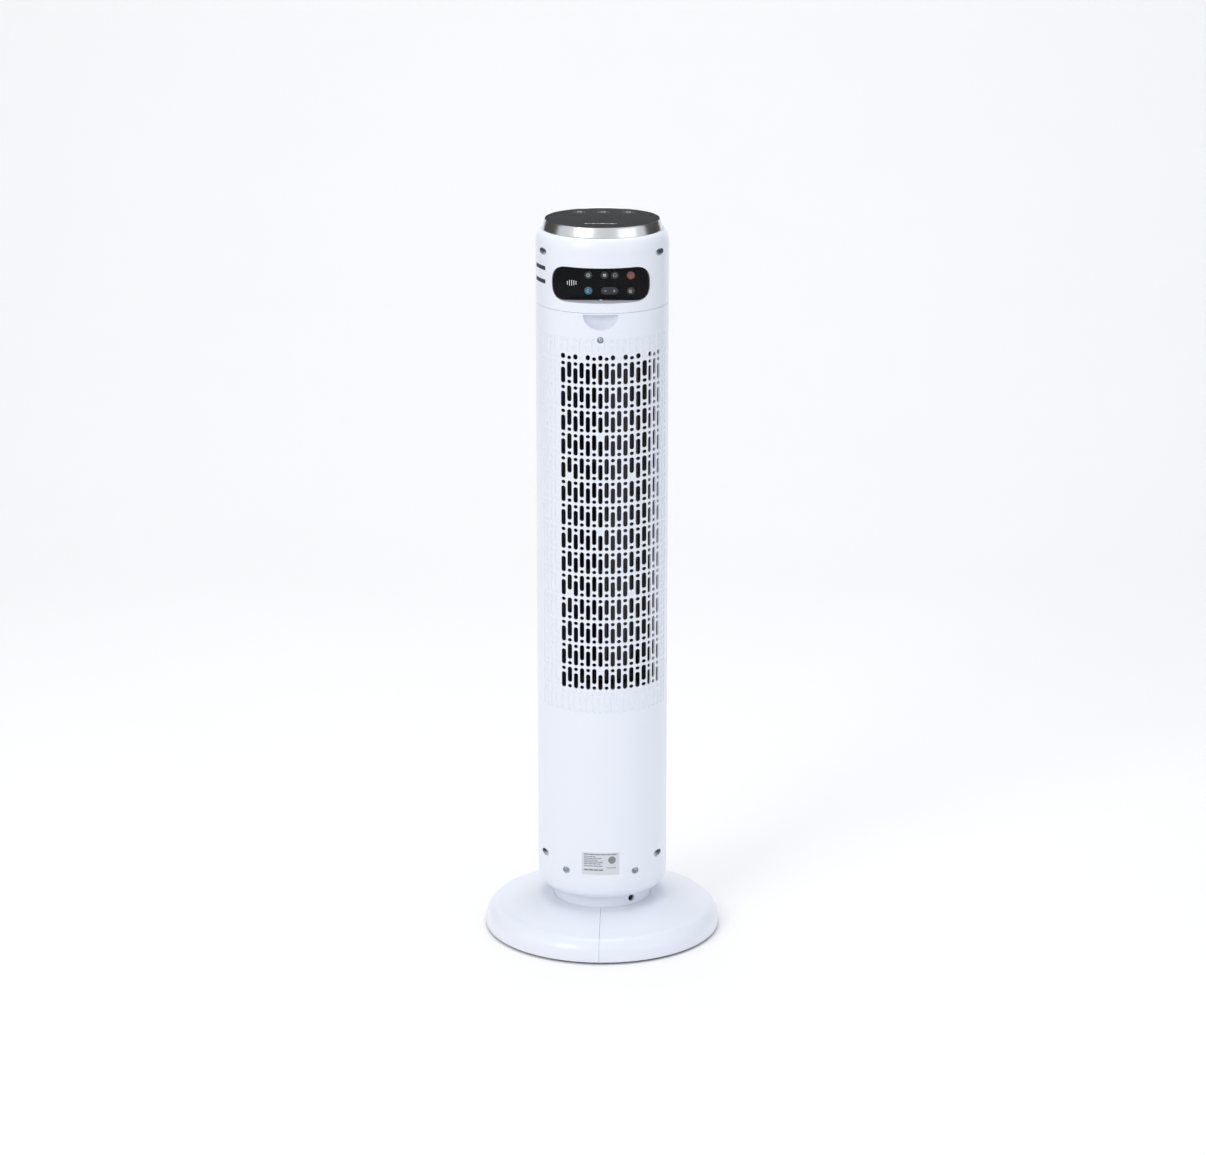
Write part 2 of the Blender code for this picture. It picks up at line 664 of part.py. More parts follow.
def swing_motor(tower, pinion):
    """The geared motor whose pinion walks round the fixed sector, and that pinion on its shaft."""
    can_low, can_high = (0, PINION_Y, OSC_MOTOR_Z), (0, PINION_Y, OSC_MOTOR_Z + OSC_MOTOR_HEIGHT)
    can = solid(rod(OSC_MOTOR_RADIUS, can_low, can_high, 28))
    ear_low = (-OSC_EAR_REACH, PINION_Y - 0.006, OSC_MOTOR_Z + GAP / 2)
    joined(can, block(ear_low, (OSC_EAR_REACH, PINION_Y + 0.006, OSC_MOTOR_Z + OSC_EAR_THICKNESS)))
    mouth = (0, PINION_Y, OSC_MOTOR_Z - 0.01)
    bore_top = OSC_MOTOR_Z + 0.006
    cut(can, rod(OSC_SHAFT_RADIUS + RUNNING_GAP, mouth, (0, PINION_Y, bore_top)))
    piece("swing_motor", can, "motor_case", tower)

    step = math.tau / PINION_TEETH
    points = [point for i in range(PINION_TEETH) for point in tooth(PINION_TEETH, -math.pi / 2 + i * step)]
    gear = prism([(x, y + PINION_Y) for x, y in points], GEAR_Z, GEAR_Z + PINION_WIDTH)
    gear = solid(gear)
    cut(gear, rod(OSC_SHAFT_RADIUS + GAP, (0, PINION_Y, GEAR_Z - 0.01), (0, PINION_Y, GEAR_Z + 0.03)))
    piece("swing_pinion", gear, "gear_plastic", pinion)
    low = (0, PINION_Y, GEAR_Z + GAP)
    piece("swing_shaft", rod(OSC_SHAFT_RADIUS, low, (0, PINION_Y, bore_top - RUNNING_GAP)), "steel", pinion)


# ---- Tower shells -----------------------------------------------------------------------------------
def body_curve():
    """The tower's outer curve from its lower lip up to the seam, solid on the left."""
    width = BODY_RADIUS - LIP_RADIUS
    foot = arc((LIP_RADIUS, BODY_BOTTOM + FOOT_ROUND_HEIGHT), (width, FOOT_ROUND_HEIGHT), -90, 0, 5)
    return [*foot, (BODY_RADIUS, SEAM_Z - GAP)]


def head_curve():
    """The head's outer curve from the seam up over the shoulder to the trim ring."""
    rim = BODY_RADIUS - SHOULDER_WIDTH
    shoulder = arc((rim, TRIM_Z - SHOULDER_HEIGHT), (SHOULDER_WIDTH, SHOULDER_HEIGHT - GAP), 0, 80, 5)
    return [(BODY_RADIUS, SEAM_Z), *shoulder, (rim, TRIM_Z - GAP)]


def side_screw_site(side, height):
    """Where a side screw sits: it runs forward, parallel to Y, and joins the rear and front shells."""
    x = side * BODY_RADIUS * math.sin(math.radians(SIDE_SCREW_ANGLE))
    surface = -BODY_RADIUS * math.cos(math.radians(SIDE_SCREW_ANGLE))
    seat = surface * 0.45
    return {"x": x, "z": height, "seat": seat, "floor": seat + BOSS_FLOOR, "tip": seat + BOSS_FLOOR + 0.010}


def low_screw_site(side):
    """Where a lower screw sits: it joins the rear shell to the chassis."""
    x = side * BODY_RADIUS * math.sin(math.radians(LOW_SCREW_ANGLE))
    seat = -BODY_RADIUS * math.cos(math.radians(LOW_SCREW_ANGLE)) + 0.007
    floor = seat + BOSS_FLOOR
    return {"x": x, "z": LOW_SCREW_Z, "seat": seat, "floor": floor, "tip": floor + 0.008}


def grille_screw_site():
    """Where the screw above the grille sits: it joins the rear shell to the bearing bracket."""
    seat = -BODY_RADIUS + 0.0045
    floor = seat + BOSS_FLOOR
    return {"x": 0.0, "z": GRILLE_SCREW_Z, "seat": seat, "floor": floor, "tip": floor + 0.008}


def rear_bosses(sites, core):
    """The screw bosses inside a rear shell, trimmed to its wall."""
    outside = -BODY_RADIUS - 0.005
    rods = [rod(BOSS_RADIUS, (s["x"], outside, s["z"]), (s["x"], s["floor"], s["z"])) for s in sites]
    bosses = within(solid(gathered(rods)), core)
    return mesh_of(bosses)


def rear_bores(sites):
    """Counterbores from the rear surface to each screw's seat, then the shank holes behind them.

    The two sets overlap, so they are cut one after the other.
    """
    outside = -BODY_RADIUS - 0.005
    counterbores, shanks = [], []
    for s in sites:
        counterbores.append(rod(COUNTERBORE_RADIUS, (s["x"], outside, s["z"]), (s["x"], s["seat"], s["z"])))
        start, end = (s["x"], s["seat"] - GAP, s["z"]), (s["x"], s["floor"] + 0.01, s["z"])
        shanks.append(rod(SCREW_SHANK_RADIUS + GAP, start, end))
    return counterbores, shanks


def front_receivers(sites, core):
    """The posts inside a front shell that take the side screws."""
    outside = BODY_RADIUS + 0.005
    rods = []
    for s in sites:
        rods.append(rod(RECEIVER_RADIUS, (s["x"], s["floor"] + GAP, s["z"]), (s["x"], outside, s["z"])))
    return mesh_of(within(solid(gathered(rods)), core))


def receiver_bores(sites):
    bore = SCREW_SHANK_RADIUS + GAP
    return [rod(bore, (s["x"], -0.05, s["z"]), (s["x"], s["tip"] + 0.001, s["z"]), 8) for s in sites]


def half_space(side):
    """A box that holds everything on one side of the plane between the front and rear shells."""
    reach = BODY_RADIUS + 0.02
    edges = sorted((side * GAP / 2, side * reach))
    return block((-reach, edges[0], -0.01), (reach, edges[1], TOTAL_HEIGHT + 0.01))


def side_sites():
    return [side_screw_site(side, SIDE_SCREW_Z) for side in (-1, 1)]


def head_sites():
    return [side_screw_site(side, HEAD_SCREW_Z) for side in (-1, 1)]


def straight_columns():
    """The x of each grille column that is pulled straight to the rear."""
    return [i * COLUMN_PITCH for i in range(-COLUMNS_LEFT, COLUMNS_RIGHT + 1)]


def side_columns():
    """The rear angle of each grille column that faces sideways."""
    last = math.degrees(math.asin(straight_columns()[-1] / BODY_RADIUS))
    return [last + SIDE_LEAD + SIDE_STEP * i for i in range(SIDE_COLUMNS)]


def intake_slots():
    """The cutters of the intake: every column's slots, each as tall as a few rows of the moulded pattern."""
    count = max(1, ROWS // ROWS_PER_SLOT)
    pitch = (GRILLE_TOP - GRILLE_BOTTOM + ROW_GAP) / count
    spans = [(GRILLE_TOP - (i + 1) * pitch + ROW_GAP, GRILLE_TOP - i * pitch) for i in range(count)]
    half, side_half = SLOT_WIDTH / 2, SIDE_SLOT_WIDTH / 2
    outside = -BODY_RADIUS - 0.002
    cutters = []
    for low, high in spans:
        for x in straight_columns():
            inner = -math.sqrt(INNER_RADIUS**2 - (abs(x) + half) ** 2) + SLOT_OVERCUT
            cutters.append(block((x - half, outside, low), (x + half, inner, high)))
        for angle in side_columns():
            cutter = block((-side_half, outside, low), (side_half, -INNER_RADIUS + SLOT_OVERCUT, high))
            cutters.append(turned(cutter, angle))
    return cutters


def scoop(depth_extra):
    """The finger scoop's half ellipsoid under the seam, or its outer skin when depth_extra is the wall."""
    mesh = bmesh.new()
    phase = Matrix.Rotation(ROD_PHASE, 4, "Z")
    bmesh.ops.create_uvsphere(mesh, u_segments=20, v_segments=12, radius=1.0, matrix=phase)
    size = (SCOOP_HALF_WIDTH + depth_extra, SCOOP_DEPTH + depth_extra, SCOOP_HEIGHT + depth_extra)
    bmesh.ops.scale(mesh, vec=size, verts=mesh.verts)
    top = SEAM_Z - GAP - SCOOP_CEILING
    bmesh.ops.translate(mesh, vec=(0, -BODY_RADIUS - SCOOP_STAND_OFF, top), verts=mesh.verts)
    level = top + (SCOOP_CEILING * 0.9 if depth_extra else 0.0)
    geometry = mesh.verts[:] + mesh.edges[:] + mesh.faces[:]
    plane = {"plane_co": (0, 0, level), "plane_no": (0, 0, 1)}
    sliced = bmesh.ops.bisect_plane(mesh, geom=geometry, clear_outer=True, **plane)
    rim = [item for item in sliced["geom_cut"] if isinstance(item, bmesh.types.BMEdge)]
    bmesh.ops.contextual_create(mesh, geom=rim)
    bmesh.ops.recalc_face_normals(mesh, faces=mesh.faces)
    return mesh


def body_shells(body):
    """The tower's rear shell with its intake grille, and its front shell with the outlet window."""
    curve = body_curve()[::-1]
    sites = [*side_sites(), *[low_screw_site(side) for side in (-1, 1)], grille_screw_site()]
    core = core_outline(curve, BODY_WALL / 2)

    rear = solid(lathe(skin_outline(curve, BODY_WALL)))
    joined(rear, rear_bosses(sites, lathe(core)))
    backing = within(solid(scoop(SCOOP_WALL)), lathe(core))
    joined(rear, mesh_of(backing))
    within(rear, half_space(-1))
    cut(rear, scoop(0.0))
    for bores in rear_bores(sites):
        cut(rear, gathered(bores))
    cut(rear, gathered(intake_slots()))
    piece("rear_shell", rear, "white_shell", body)

    front = solid(lathe(skin_outline(curve, BODY_WALL)))
    within(front, half_space(1))
    joined(front, front_receivers(side_sites(), lathe(core)))
    cut(front, gathered(receiver_bores(side_sites())))
    low, high = outlet_span()
    cut(front, block((-OUTLET_HALF_WIDTH, 0.02, low), (OUTLET_HALF_WIDTH, BODY_RADIUS + 0.01, high)))
    piece("front_shell", front, "white_shell", body)

    for side, word in ((-1, "left"), (1, "right")):
        place_screw(f"shell_screw_{word}", side_screw_site(side, SIDE_SCREW_Z), body)
        place_screw(f"lower_screw_{word}", low_screw_site(side), body)
    place_screw("grille_screw", grille_screw_site(), body)


def place_screw(name, site, body):
    screw(name, (site["x"], site["seat"] - GAP, site["z"]), (site["x"], site["tip"], site["z"]), body)


def outlet_span():
    """Lowest and highest z of the outlet window."""
    return WHEEL_BOTTOM, WHEEL_TOP


def outlet_grille(body):
    """The curved grille in the front window: a frame with columns of tall slots."""
    low, high = outlet_span()
    low, high = low + OUTLET_FIT, high - OUTLET_FIT
    half = OUTLET_HALF_WIDTH - OUTLET_FIT
    ring = [(INNER_RADIUS, low), (BODY_RADIUS, low), (BODY_RADIUS, high), (INNER_RADIUS, high)]
    room = block((-half, 0.02, low - 0.01), (half, BODY_RADIUS + 0.01, high + 0.01))
    grille = within(solid(lathe(ring)), room)
    columns = int((half - OUTLET_FRAME - OUTLET_SLOT / 2) / OUTLET_PITCH)
    bay = (high - low - 2 * OUTLET_FRAME + OUTLET_RIB) / OUTLET_BAYS
    cutters = []
    for row in range(OUTLET_BAYS):
        bottom = low + OUTLET_FRAME + row * bay
        for column in range(-columns, columns + 1):
            x = column * OUTLET_PITCH
            top = bottom + bay - OUTLET_RIB
            corners = (x - OUTLET_SLOT / 2, 0.03, bottom), (x + OUTLET_SLOT / 2, BODY_RADIUS + 0.01, top)
            cutters.append(block(*corners))
    cut(grille, gathered(cutters))
    piece("outlet_grille", grille, "white_shell", body)


def head_covers(body):
    """The head's rear cover with the remote's dock, and its front cover."""
    curve = head_curve()[::-1]
    core = core_outline(curve, BODY_WALL / 2)

    rear = solid(lathe(skin_outline(curve, BODY_WALL)))
    joined(rear, rear_bosses(head_sites(), lathe(core)))
    tub_outline = remote_outline(DOCK_CLEARANCE + DOCK_WALL)
    tub = upright_prism(tub_outline, -BODY_RADIUS - 0.01, DOCK_BACK_Y + DOCK_WALL)
    joined(rear, mesh_of(within(solid(tub), lathe(core))))
    within(rear, half_space(-1))
    cut(rear, upright_prism(remote_outline(DOCK_CLEARANCE), -BODY_RADIUS - 0.02, DOCK_BACK_Y))
    for bores in rear_bores(head_sites()):
        cut(rear, gathered(bores))
    piece("head_rear_cover", rear, "white_shell", body)

    front = within(solid(lathe(skin_outline(curve, BODY_WALL))), half_space(1))
    joined(front, front_receivers(head_sites(), lathe(core)))
    cut(front, gathered(receiver_bores(head_sites())))
    piece("head_front_cover", front, "white_shell", body)
    for side, word in ((-1, "left"), (1, "right")):
        place_screw(f"head_screw_{word}", side_screw_site(side, HEAD_SCREW_Z), body)


def head_top(body):
    """The bright trim ring, the black control panel, and the tray, board and display under it."""
    foot, rim = BODY_RADIUS - SHOULDER_WIDTH, BODY_RADIUS - SHOULDER_WIDTH - TRIM_TAPER
    seat = rim - TRIM_LIP
    panel_low = PANEL_TOP - PANEL_THICKNESS
    ledge = panel_low - GAP
    outline = [
        (foot, TRIM_Z),
        (rim, TOTAL_HEIGHT),
        (seat, TOTAL_HEIGHT),
        (seat, ledge),
        (seat - 0.003, ledge),
        (seat - 0.003, ledge - 0.002),
        (foot - 0.003, TRIM_Z),
    ]
    piece("trim_ring", lathe(outline, 40), "bright_trim", body)
    panel = [(0, panel_low), (PANEL_RADIUS, panel_low), (PANEL_RADIUS, PANEL_TOP), (0, PANEL_TOP)]
    piece("control_panel", lathe(panel, 40), "black_gloss", body)

    tray_z = TRIM_Z - CARRIER_DROP
    wall = seat - 0.005
    edge = head_radius_at(tray_z + CARRIER_WALL) - 1.2 * BODY_WALL - PLATE_FIT
    tray = [(0, tray_z), (edge, tray_z), (edge, tray_z + CARRIER_WALL), (wall, tray_z + CARRIER_WALL)]
    tray += [(wall, ledge - 0.001), (wall - CARRIER_WALL, ledge - 0.001)]
    tray += [(wall - CARRIER_WALL, tray_z + CARRIER_WALL), (0, tray_z + CARRIER_WALL)]
    carrier = solid(lathe(tray))
    x, y = harness_end()
    cut(carrier, rod(HARNESS_HOLE, (x, y, tray_z - 0.01), (x, y, tray_z + 0.01)))
    piece("panel_carrier", carrier, "grey_plastic", body)

    board_z = tray_z + CARRIER_WALL + GAP
    width, depth = BOARD_SIZE
    low = (-width / 2, -depth / 2, board_z)
    piece("control_board", block(low, (width / 2, depth / 2, board_z + 0.0016)), "circuit_board", body)
    display_z = board_z + 0.0016 + GAP
    low = (-0.018, -0.009, display_z)
    piece("led_display", block(low, (0.018, 0.009, panel_low - 0.0015)), "black_satin", body)
    harness(body)


def harness_end():
    return 0.030, 0.012


def harness(body):
    """The straight run of the sleeved lead that feeds the control board, up behind the duct."""
    x, y = HARNESS_SPOT
    piece("wiring_harness", rod(HARNESS_RADIUS, (x, y, HARNESS_LOW), (x, y, HARNESS_HIGH), 12), "black_satin", body)


# ---- Blower -----------------------------------------------------------------------------------------
def blower(tower, wheel_body):
    """The cross-flow wheel, its shaft and top journal."""
    inner = WHEEL_RADIUS - BLADE_DEPTH
    bay = (WHEEL_TOP - WHEEL_BOTTOM - DISC_THICKNESS) / WHEEL_BAYS
    blades = []
    for i in range(BLADES):
        blade = block(
            (-BLADE_THICKNESS / 2, -BLADE_DEPTH / 2, WHEEL_BOTTOM + DISC_THICKNESS / 2),
            (BLADE_THICKNESS / 2, BLADE_DEPTH / 2, WHEEL_TOP - DISC_THICKNESS / 2),
        )
        turned(blade, BLADE_LEAN)
        bmesh.ops.translate(blade, verts=blade.verts, vec=(0, -(inner + BLADE_DEPTH / 2), 0))
        blades.append(turned(blade, i * 360 / BLADES))
    wheel = solid(gathered(blades))
    discs = []
    for i in range(WHEEL_BAYS + 1):
        low = WHEEL_BOTTOM + i * bay
        high = low + DISC_THICKNESS
        if i == 0:
            hub = [(SHAFT_RADIUS + GAP, low - 0.006), (WHEEL_HUB_RADIUS, low - 0.006)]
            hub += [(WHEEL_HUB_RADIUS, low)]
            hub += [(WHEEL_RADIUS + 0.001, low), (WHEEL_RADIUS + 0.001, high), (SHAFT_RADIUS + GAP, high)]
        elif i == WHEEL_BAYS:
            hub = [(JOURNAL_RADIUS + GAP, low), (WHEEL_RADIUS + 0.001, low), (WHEEL_RADIUS + 0.001, high)]
            hub += [(WHEEL_HUB_RADIUS, high), (WHEEL_HUB_RADIUS, high + 0.005)]
            hub += [(JOURNAL_RADIUS + GAP, high + 0.005)]
        else:
            rim = WHEEL_RADIUS + 0.001
            hub = [(inner - 0.001, low), (rim, low), (rim, high), (inner - 0.001, high)]
        discs.append(lathe(hub, 20))
    joined(wheel, gathered(discs))
    piece("blower_wheel", wheel, "grey_plastic", wheel_body)

    shaft_low = MOTOR_PLATE_Z - MOTOR_HEIGHT * 0.5
    shaft_high = WHEEL_BOTTOM + DISC_THICKNESS - GAP
    piece("motor_shaft", rod(SHAFT_RADIUS, (0, 0, shaft_low), (0, 0, shaft_high), 16), "steel", wheel_body)
    journal_low = WHEEL_TOP - DISC_THICKNESS + GAP
    journal_high = BRACKET_Z + PLATE_THICKNESS / 2 + BUSH_LENGTH / 2
    journal = rod(JOURNAL_RADIUS, (0, 0, journal_low), (0, 0, journal_high), 16)
    piece("top_journal", journal, "steel", wheel_body)
    blower_motor(tower, shaft_low)
    top_bearing(tower)


def harness_passage(low, high):
    return rod(HARNESS_HOLE, (*HARNESS_SPOT, low - 0.01), (*HARNESS_SPOT, high + 0.01))


def blower_motor(body, shaft_low):
    """The blower's motor, hung under the plate that closes the duct."""
    edge = INNER_RADIUS - PLATE_FIT
    top = MOTOR_PLATE_Z + PLATE_THICKNESS
    hole = WHEEL_HUB_RADIUS + 0.004
    plate = [(hole, MOTOR_PLATE_Z), (edge, MOTOR_PLATE_Z), (edge, top), (hole, top)]
    plate = cut(solid(lathe(plate)), harness_passage(MOTOR_PLATE_Z, top))
    piece("motor_plate", plate, "grey_plastic", body)

    can_top = MOTOR_PLATE_Z - GAP
    can_low = can_top - MOTOR_HEIGHT
    bore = SHAFT_RADIUS + RUNNING_GAP
    shoulder = MOTOR_RADIUS - 0.006
    outline = [
        (0, can_low),
        (shoulder, can_low),
        (MOTOR_RADIUS, can_low + 0.006),
        (MOTOR_RADIUS, can_top),
        (bore, can_top),
        (bore, shaft_low - RUNNING_GAP),
        (0, shaft_low - RUNNING_GAP),
    ]
    piece("blower_motor", lathe(outline, 32), "motor_case", body)


def top_bearing(body):
    """The bracket above the wheel with its rubber boot and bronze bush."""
    edge = INNER_RADIUS - PLATE_FIT
    top = BRACKET_Z + PLATE_THICKNESS
    middle = (BRACKET_Z + top) / 2
    low, high = middle - BUSH_LENGTH / 2, middle + BUSH_LENGTH / 2
    bore = BOOT_RADIUS + GAP
    outline = [
        (bore, low),
        (BRACKET_BOSS_RADIUS, low),
        (BRACKET_BOSS_RADIUS, BRACKET_Z),
        (edge, BRACKET_Z),
        (edge, top),
        (BRACKET_BOSS_RADIUS, top),
        (BRACKET_BOSS_RADIUS, high),
        (bore, high),
    ]
    bracket = solid(lathe(outline))
    site = grille_screw_site()
    front = site["floor"] + GAP
    joined(bracket, rod(RECEIVER_RADIUS, (0, front, site["z"]), (0, front + 0.016, site["z"])))
    side = BOSS_RADIUS + 0.001
    relief = block((-side, -BODY_RADIUS, BRACKET_Z - 0.02), (side, front, top + 0.02))
    cut(bracket, relief)
    start, end = (0, -BODY_RADIUS, site["z"]), (0, site["tip"] + 0.001, site["z"])
    cut(bracket, rod(SCREW_SHANK_RADIUS + GAP, start, end, 8))
    cut(bracket, harness_passage(BRACKET_Z, top))
    piece("bearing_bracket", bracket, "grey_plastic", body)

    inner = BUSH_RADIUS + GAP
    ring = [(inner, low), (BOOT_RADIUS, low), (BOOT_RADIUS, high), (inner, high)]
    piece("bearing_boot", lathe(ring, 20), "rubber", body)
    bore = JOURNAL_RADIUS + GAP
    ring = [(bore, low), (BUSH_RADIUS, low), (BUSH_RADIUS, high), (bore, high)]
    piece("bearing_bush", lathe(ring, 16), "bronze", body)


def duct_strip(route):
    """A duct wall's closed outline from its polar route of (radius, rear angle)."""
    line = [rear_point(radius, angle) for radius, angle in route]
    return offset_curve(line, DUCT_WALL / 2) + offset_curve(line, -DUCT_WALL / 2)[::-1]


def duct_walls(body):
    """The scroll wall and the tongue wall that guide the air from intake to outlet through the wheel."""
    near = WHEEL_RADIUS + DUCT_CLEARANCE
    far = INNER_RADIUS - DUCT_WALL
    low, high = MOTOR_PLATE_Z + PLATE_THICKNESS + GAP, BRACKET_Z - GAP
    outlet = 180 - math.degrees(math.asin(OUTLET_HALF_WIDTH / BODY_RADIUS))
    first = math.degrees(math.asin(straight_columns()[0] / BODY_RADIUS)) - 5
    scroll = [(far, first), (near + 0.004, first - 3)]
    for step in range(9):
        share = step / 8
        scroll.append((near + (far - near) * share**1.5, first - 12 + (-outlet - first + 12) * share))
    piece("scroll_wall", prism(duct_strip(scroll), low, high), "grey_plastic", body)
    last = side_columns()[-1] + 5
    tongue = [(far, last), (near + 0.004, last + 4)]
    for step in range(5):
        tongue.append((near + 0.001, last + 12 + 34 * step / 4))
    tongue += [(near + 0.006, outlet - 16), (far, outlet + 1)]
    piece("tongue_wall", prism(duct_strip(tongue), low, high), "grey_plastic", body)


# ---- Remote control ---------------------------------------------------------------------------------
def key_places():
    """Each key's name, finish and (x, z) on the remote, seen from the rear."""
    upper, lower = REMOTE_Z + KEY_SPREAD / 2, REMOTE_Z - KEY_SPREAD / 2
    return [
        ("key_timer", "key_grey", -0.0150, upper),
        ("key_mode", "key_grey", 0.0045, upper),
        ("key_swing", "key_grey", 0.0170, upper),
        ("key_power", "key_red", 0.0362, upper),
        ("key_night", "key_blue", -0.0150, lower),
        ("key_breeze", "key_grey", 0.0362, lower),
    ]


def rocker_outline(grow):
    """The speed key's (x, z) outline: a bar with round ends between the two middle columns."""
    middle = (0.0045 + 0.0170) / 2
    centre_z = REMOTE_Z - KEY_SPREAD / 2
    radius = KEY_RADIUS + grow
    half = ROCKER_LENGTH / 2 - KEY_RADIUS
    right = arc((middle + half, centre_z), (radius, radius), -90, 90, 6)
    left = arc((middle - half, centre_z), (radius, radius), 90, 270, 6)
    return right + left


def remote(body):
    """The docked remote: case, back, board and coin cell."""
    case_back = REMOTE_BACK_Y - REMOTE_BACK - GAP
    case = solid(upright_prism(remote_outline(), REMOTE_FACE_Y, case_back))
    cut(case, upright_prism(remote_outline(-REMOTE_WALL), REMOTE_FACE_Y + REMOTE_WALL, case_back + 0.01))
    holes = [rod(KEY_RADIUS + KEY_FIT, (x, REMOTE_FACE_Y - 0.01, z), (x, REMOTE_FACE_Y + 0.003, z), 16)
             for _, _, x, z in key_places()]
    holes.append(upright_prism(rocker_outline(KEY_FIT), REMOTE_FACE_Y - 0.01, REMOTE_FACE_Y + 0.003))
    cut(case, gathered(holes))
    piece("remote_case", case, "black_satin", body)
    back = upright_prism(remote_outline(), case_back + GAP, REMOTE_BACK_Y)
    piece("remote_back", back, "black_satin", body)
    board_far = case_back - GAP
    outline = remote_outline(-REMOTE_WALL - 2 * GAP)
    board = upright_prism(outline, board_far - BOARD_THICKNESS, board_far)
    piece("remote_board", board, "circuit_board", body)
    cell_far = board_far - BOARD_THICKNESS - GAP
    spot = (-REMOTE_LENGTH / 2 + CELL_RADIUS + 0.009, REMOTE_Z)
    cell = rod(CELL_RADIUS, (spot[0], cell_far - CELL_THICKNESS, spot[1]), (spot[0], cell_far, spot[1]), 20)
    piece("coin_cell", cell, "steel", body)


def remote_keys(body):
    """The keys that stand proud of the remote's face, each free to be pressed in."""
    near = REMOTE_FACE_Y - KEY_PROUD
    far = REMOTE_BACK_Y - REMOTE_BACK - BOARD_THICKNESS - 2 * GAP - KEY_TRAVEL - KEY_FIT
    for name, finish, x, z in key_places():
        holder = pivot(f"{name}_slide", (x, near, z), body)
        piece(name, rod(KEY_RADIUS, (x, near, z), (x, far, z), 16), finish, holder)
    holder = pivot("key_speed_slide", (0, near, REMOTE_Z), body)
    piece("key_speed", upright_prism(rocker_outline(0.0), near, far), "key_grey", holder)


# ---- Labels -----------------------------------------------------------------------------------------
def rating_label(body):
    """The blank rating sticker low on the rear shell."""
    skin = BODY_RADIUS + GAP
    low, high = LABEL_Z - LABEL_HEIGHT / 2, LABEL_Z + LABEL_HEIGHT / 2
    half = math.degrees(math.asin(LABEL_WIDTH / 2 / BODY_RADIUS))
    outer = [rear_point(skin + LABEL_THICKNESS, -half + 2 * half * i / 10) for i in range(11)]
    inner = [rear_point(skin, -half + 2 * half * i / 10) for i in range(11)]
    piece("rating_label", prism(outer + inner[::-1], low, high), "label", body)


# ---- The whole fan ----------------------------------------------------------------------------------
def clear_scene():
    for old in list(bpy.data.objects):
        bpy.data.objects.remove(old)


def build():
    clear_scene()
    base = pivot("base", (0, 0, 0))
    tower = pivot("tower_swivel", (0, 0, NECK_TOP), base)
    pinion = pivot("pinion_axis", (0, PINION_Y, GEAR_Z), tower)
    wheel = pivot("blower_axis", (0, 0, WHEEL_BOTTOM), tower)
    dock = pivot("remote_slide", (0, REMOTE_FACE_Y, REMOTE_Z), tower)
    base_halves(base)
    neck(base)
    swivel(base, tower)
    swing_motor(tower, pinion)
    body_shells(tower)
    outlet_grille(tower)
    head_covers(tower)
    head_top(tower)
    blower(tower, wheel)
    duct_walls(tower)
    remote(dock)
    remote_keys(dock)
    rating_label(tower)


build()
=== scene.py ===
"""Looks of the tower fan: moulded shells with a pierced grille, the blower behind it, the round base, the
head with its trim ring and glass panel, and the remote control in its dock. Metres, +Z up, rear at -Y.

The shells are drawn as flat sheets first. A sheet point is (across, depth, height): across runs round the
tower as seen from outside, and depth runs inwards. A node tree lays the sheet round the tower.
"""

from __future__ import annotations

import json
import logging
import math

from dataclasses import astuple, dataclass, field, fields
from enum import Enum
from typing import Any, Callable, Iterable, Sequence

import bmesh
import bpy
import numpy as np
from mathutils import Euler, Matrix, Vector
from mathutils.geometry import delaunay_2d_cdt

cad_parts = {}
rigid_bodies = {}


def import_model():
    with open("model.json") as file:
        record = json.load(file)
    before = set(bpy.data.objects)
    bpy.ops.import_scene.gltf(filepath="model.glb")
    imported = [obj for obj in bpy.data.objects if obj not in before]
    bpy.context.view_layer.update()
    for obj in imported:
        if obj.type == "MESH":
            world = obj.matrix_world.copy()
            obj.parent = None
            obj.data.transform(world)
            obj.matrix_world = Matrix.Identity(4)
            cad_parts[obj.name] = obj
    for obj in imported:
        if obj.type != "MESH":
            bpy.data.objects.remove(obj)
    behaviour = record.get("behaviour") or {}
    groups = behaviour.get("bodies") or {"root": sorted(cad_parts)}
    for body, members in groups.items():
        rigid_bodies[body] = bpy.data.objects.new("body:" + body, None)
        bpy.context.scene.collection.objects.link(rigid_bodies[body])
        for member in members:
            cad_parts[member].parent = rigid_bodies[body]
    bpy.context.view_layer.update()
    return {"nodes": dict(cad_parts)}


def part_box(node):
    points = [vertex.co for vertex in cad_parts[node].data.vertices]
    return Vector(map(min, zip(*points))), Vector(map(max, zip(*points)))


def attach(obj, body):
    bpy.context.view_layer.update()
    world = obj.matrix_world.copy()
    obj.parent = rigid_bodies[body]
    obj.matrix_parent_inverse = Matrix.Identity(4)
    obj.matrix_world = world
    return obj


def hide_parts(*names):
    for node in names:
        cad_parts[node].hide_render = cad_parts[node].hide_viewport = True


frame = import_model()

LOG = logging.getLogger("tower_fan")
MERGE = 1e-5  # points nearer than this become one
COLLAPSE = 1e-7  # edges and radii smaller than this are nothing
MATCHING = 2e6  # flat points are matched in steps of a metre divided by this
SOLVER_SCALE = 1000.0  # millimetres suit the triangle solver's tolerances
SOLVER_REACH = 1e-4  # in the solver's millimetres
SHARP_ANGLE = math.radians(32)
CLEAR_OF_EDGES = 0.0009  # loose points keep this far from every outline

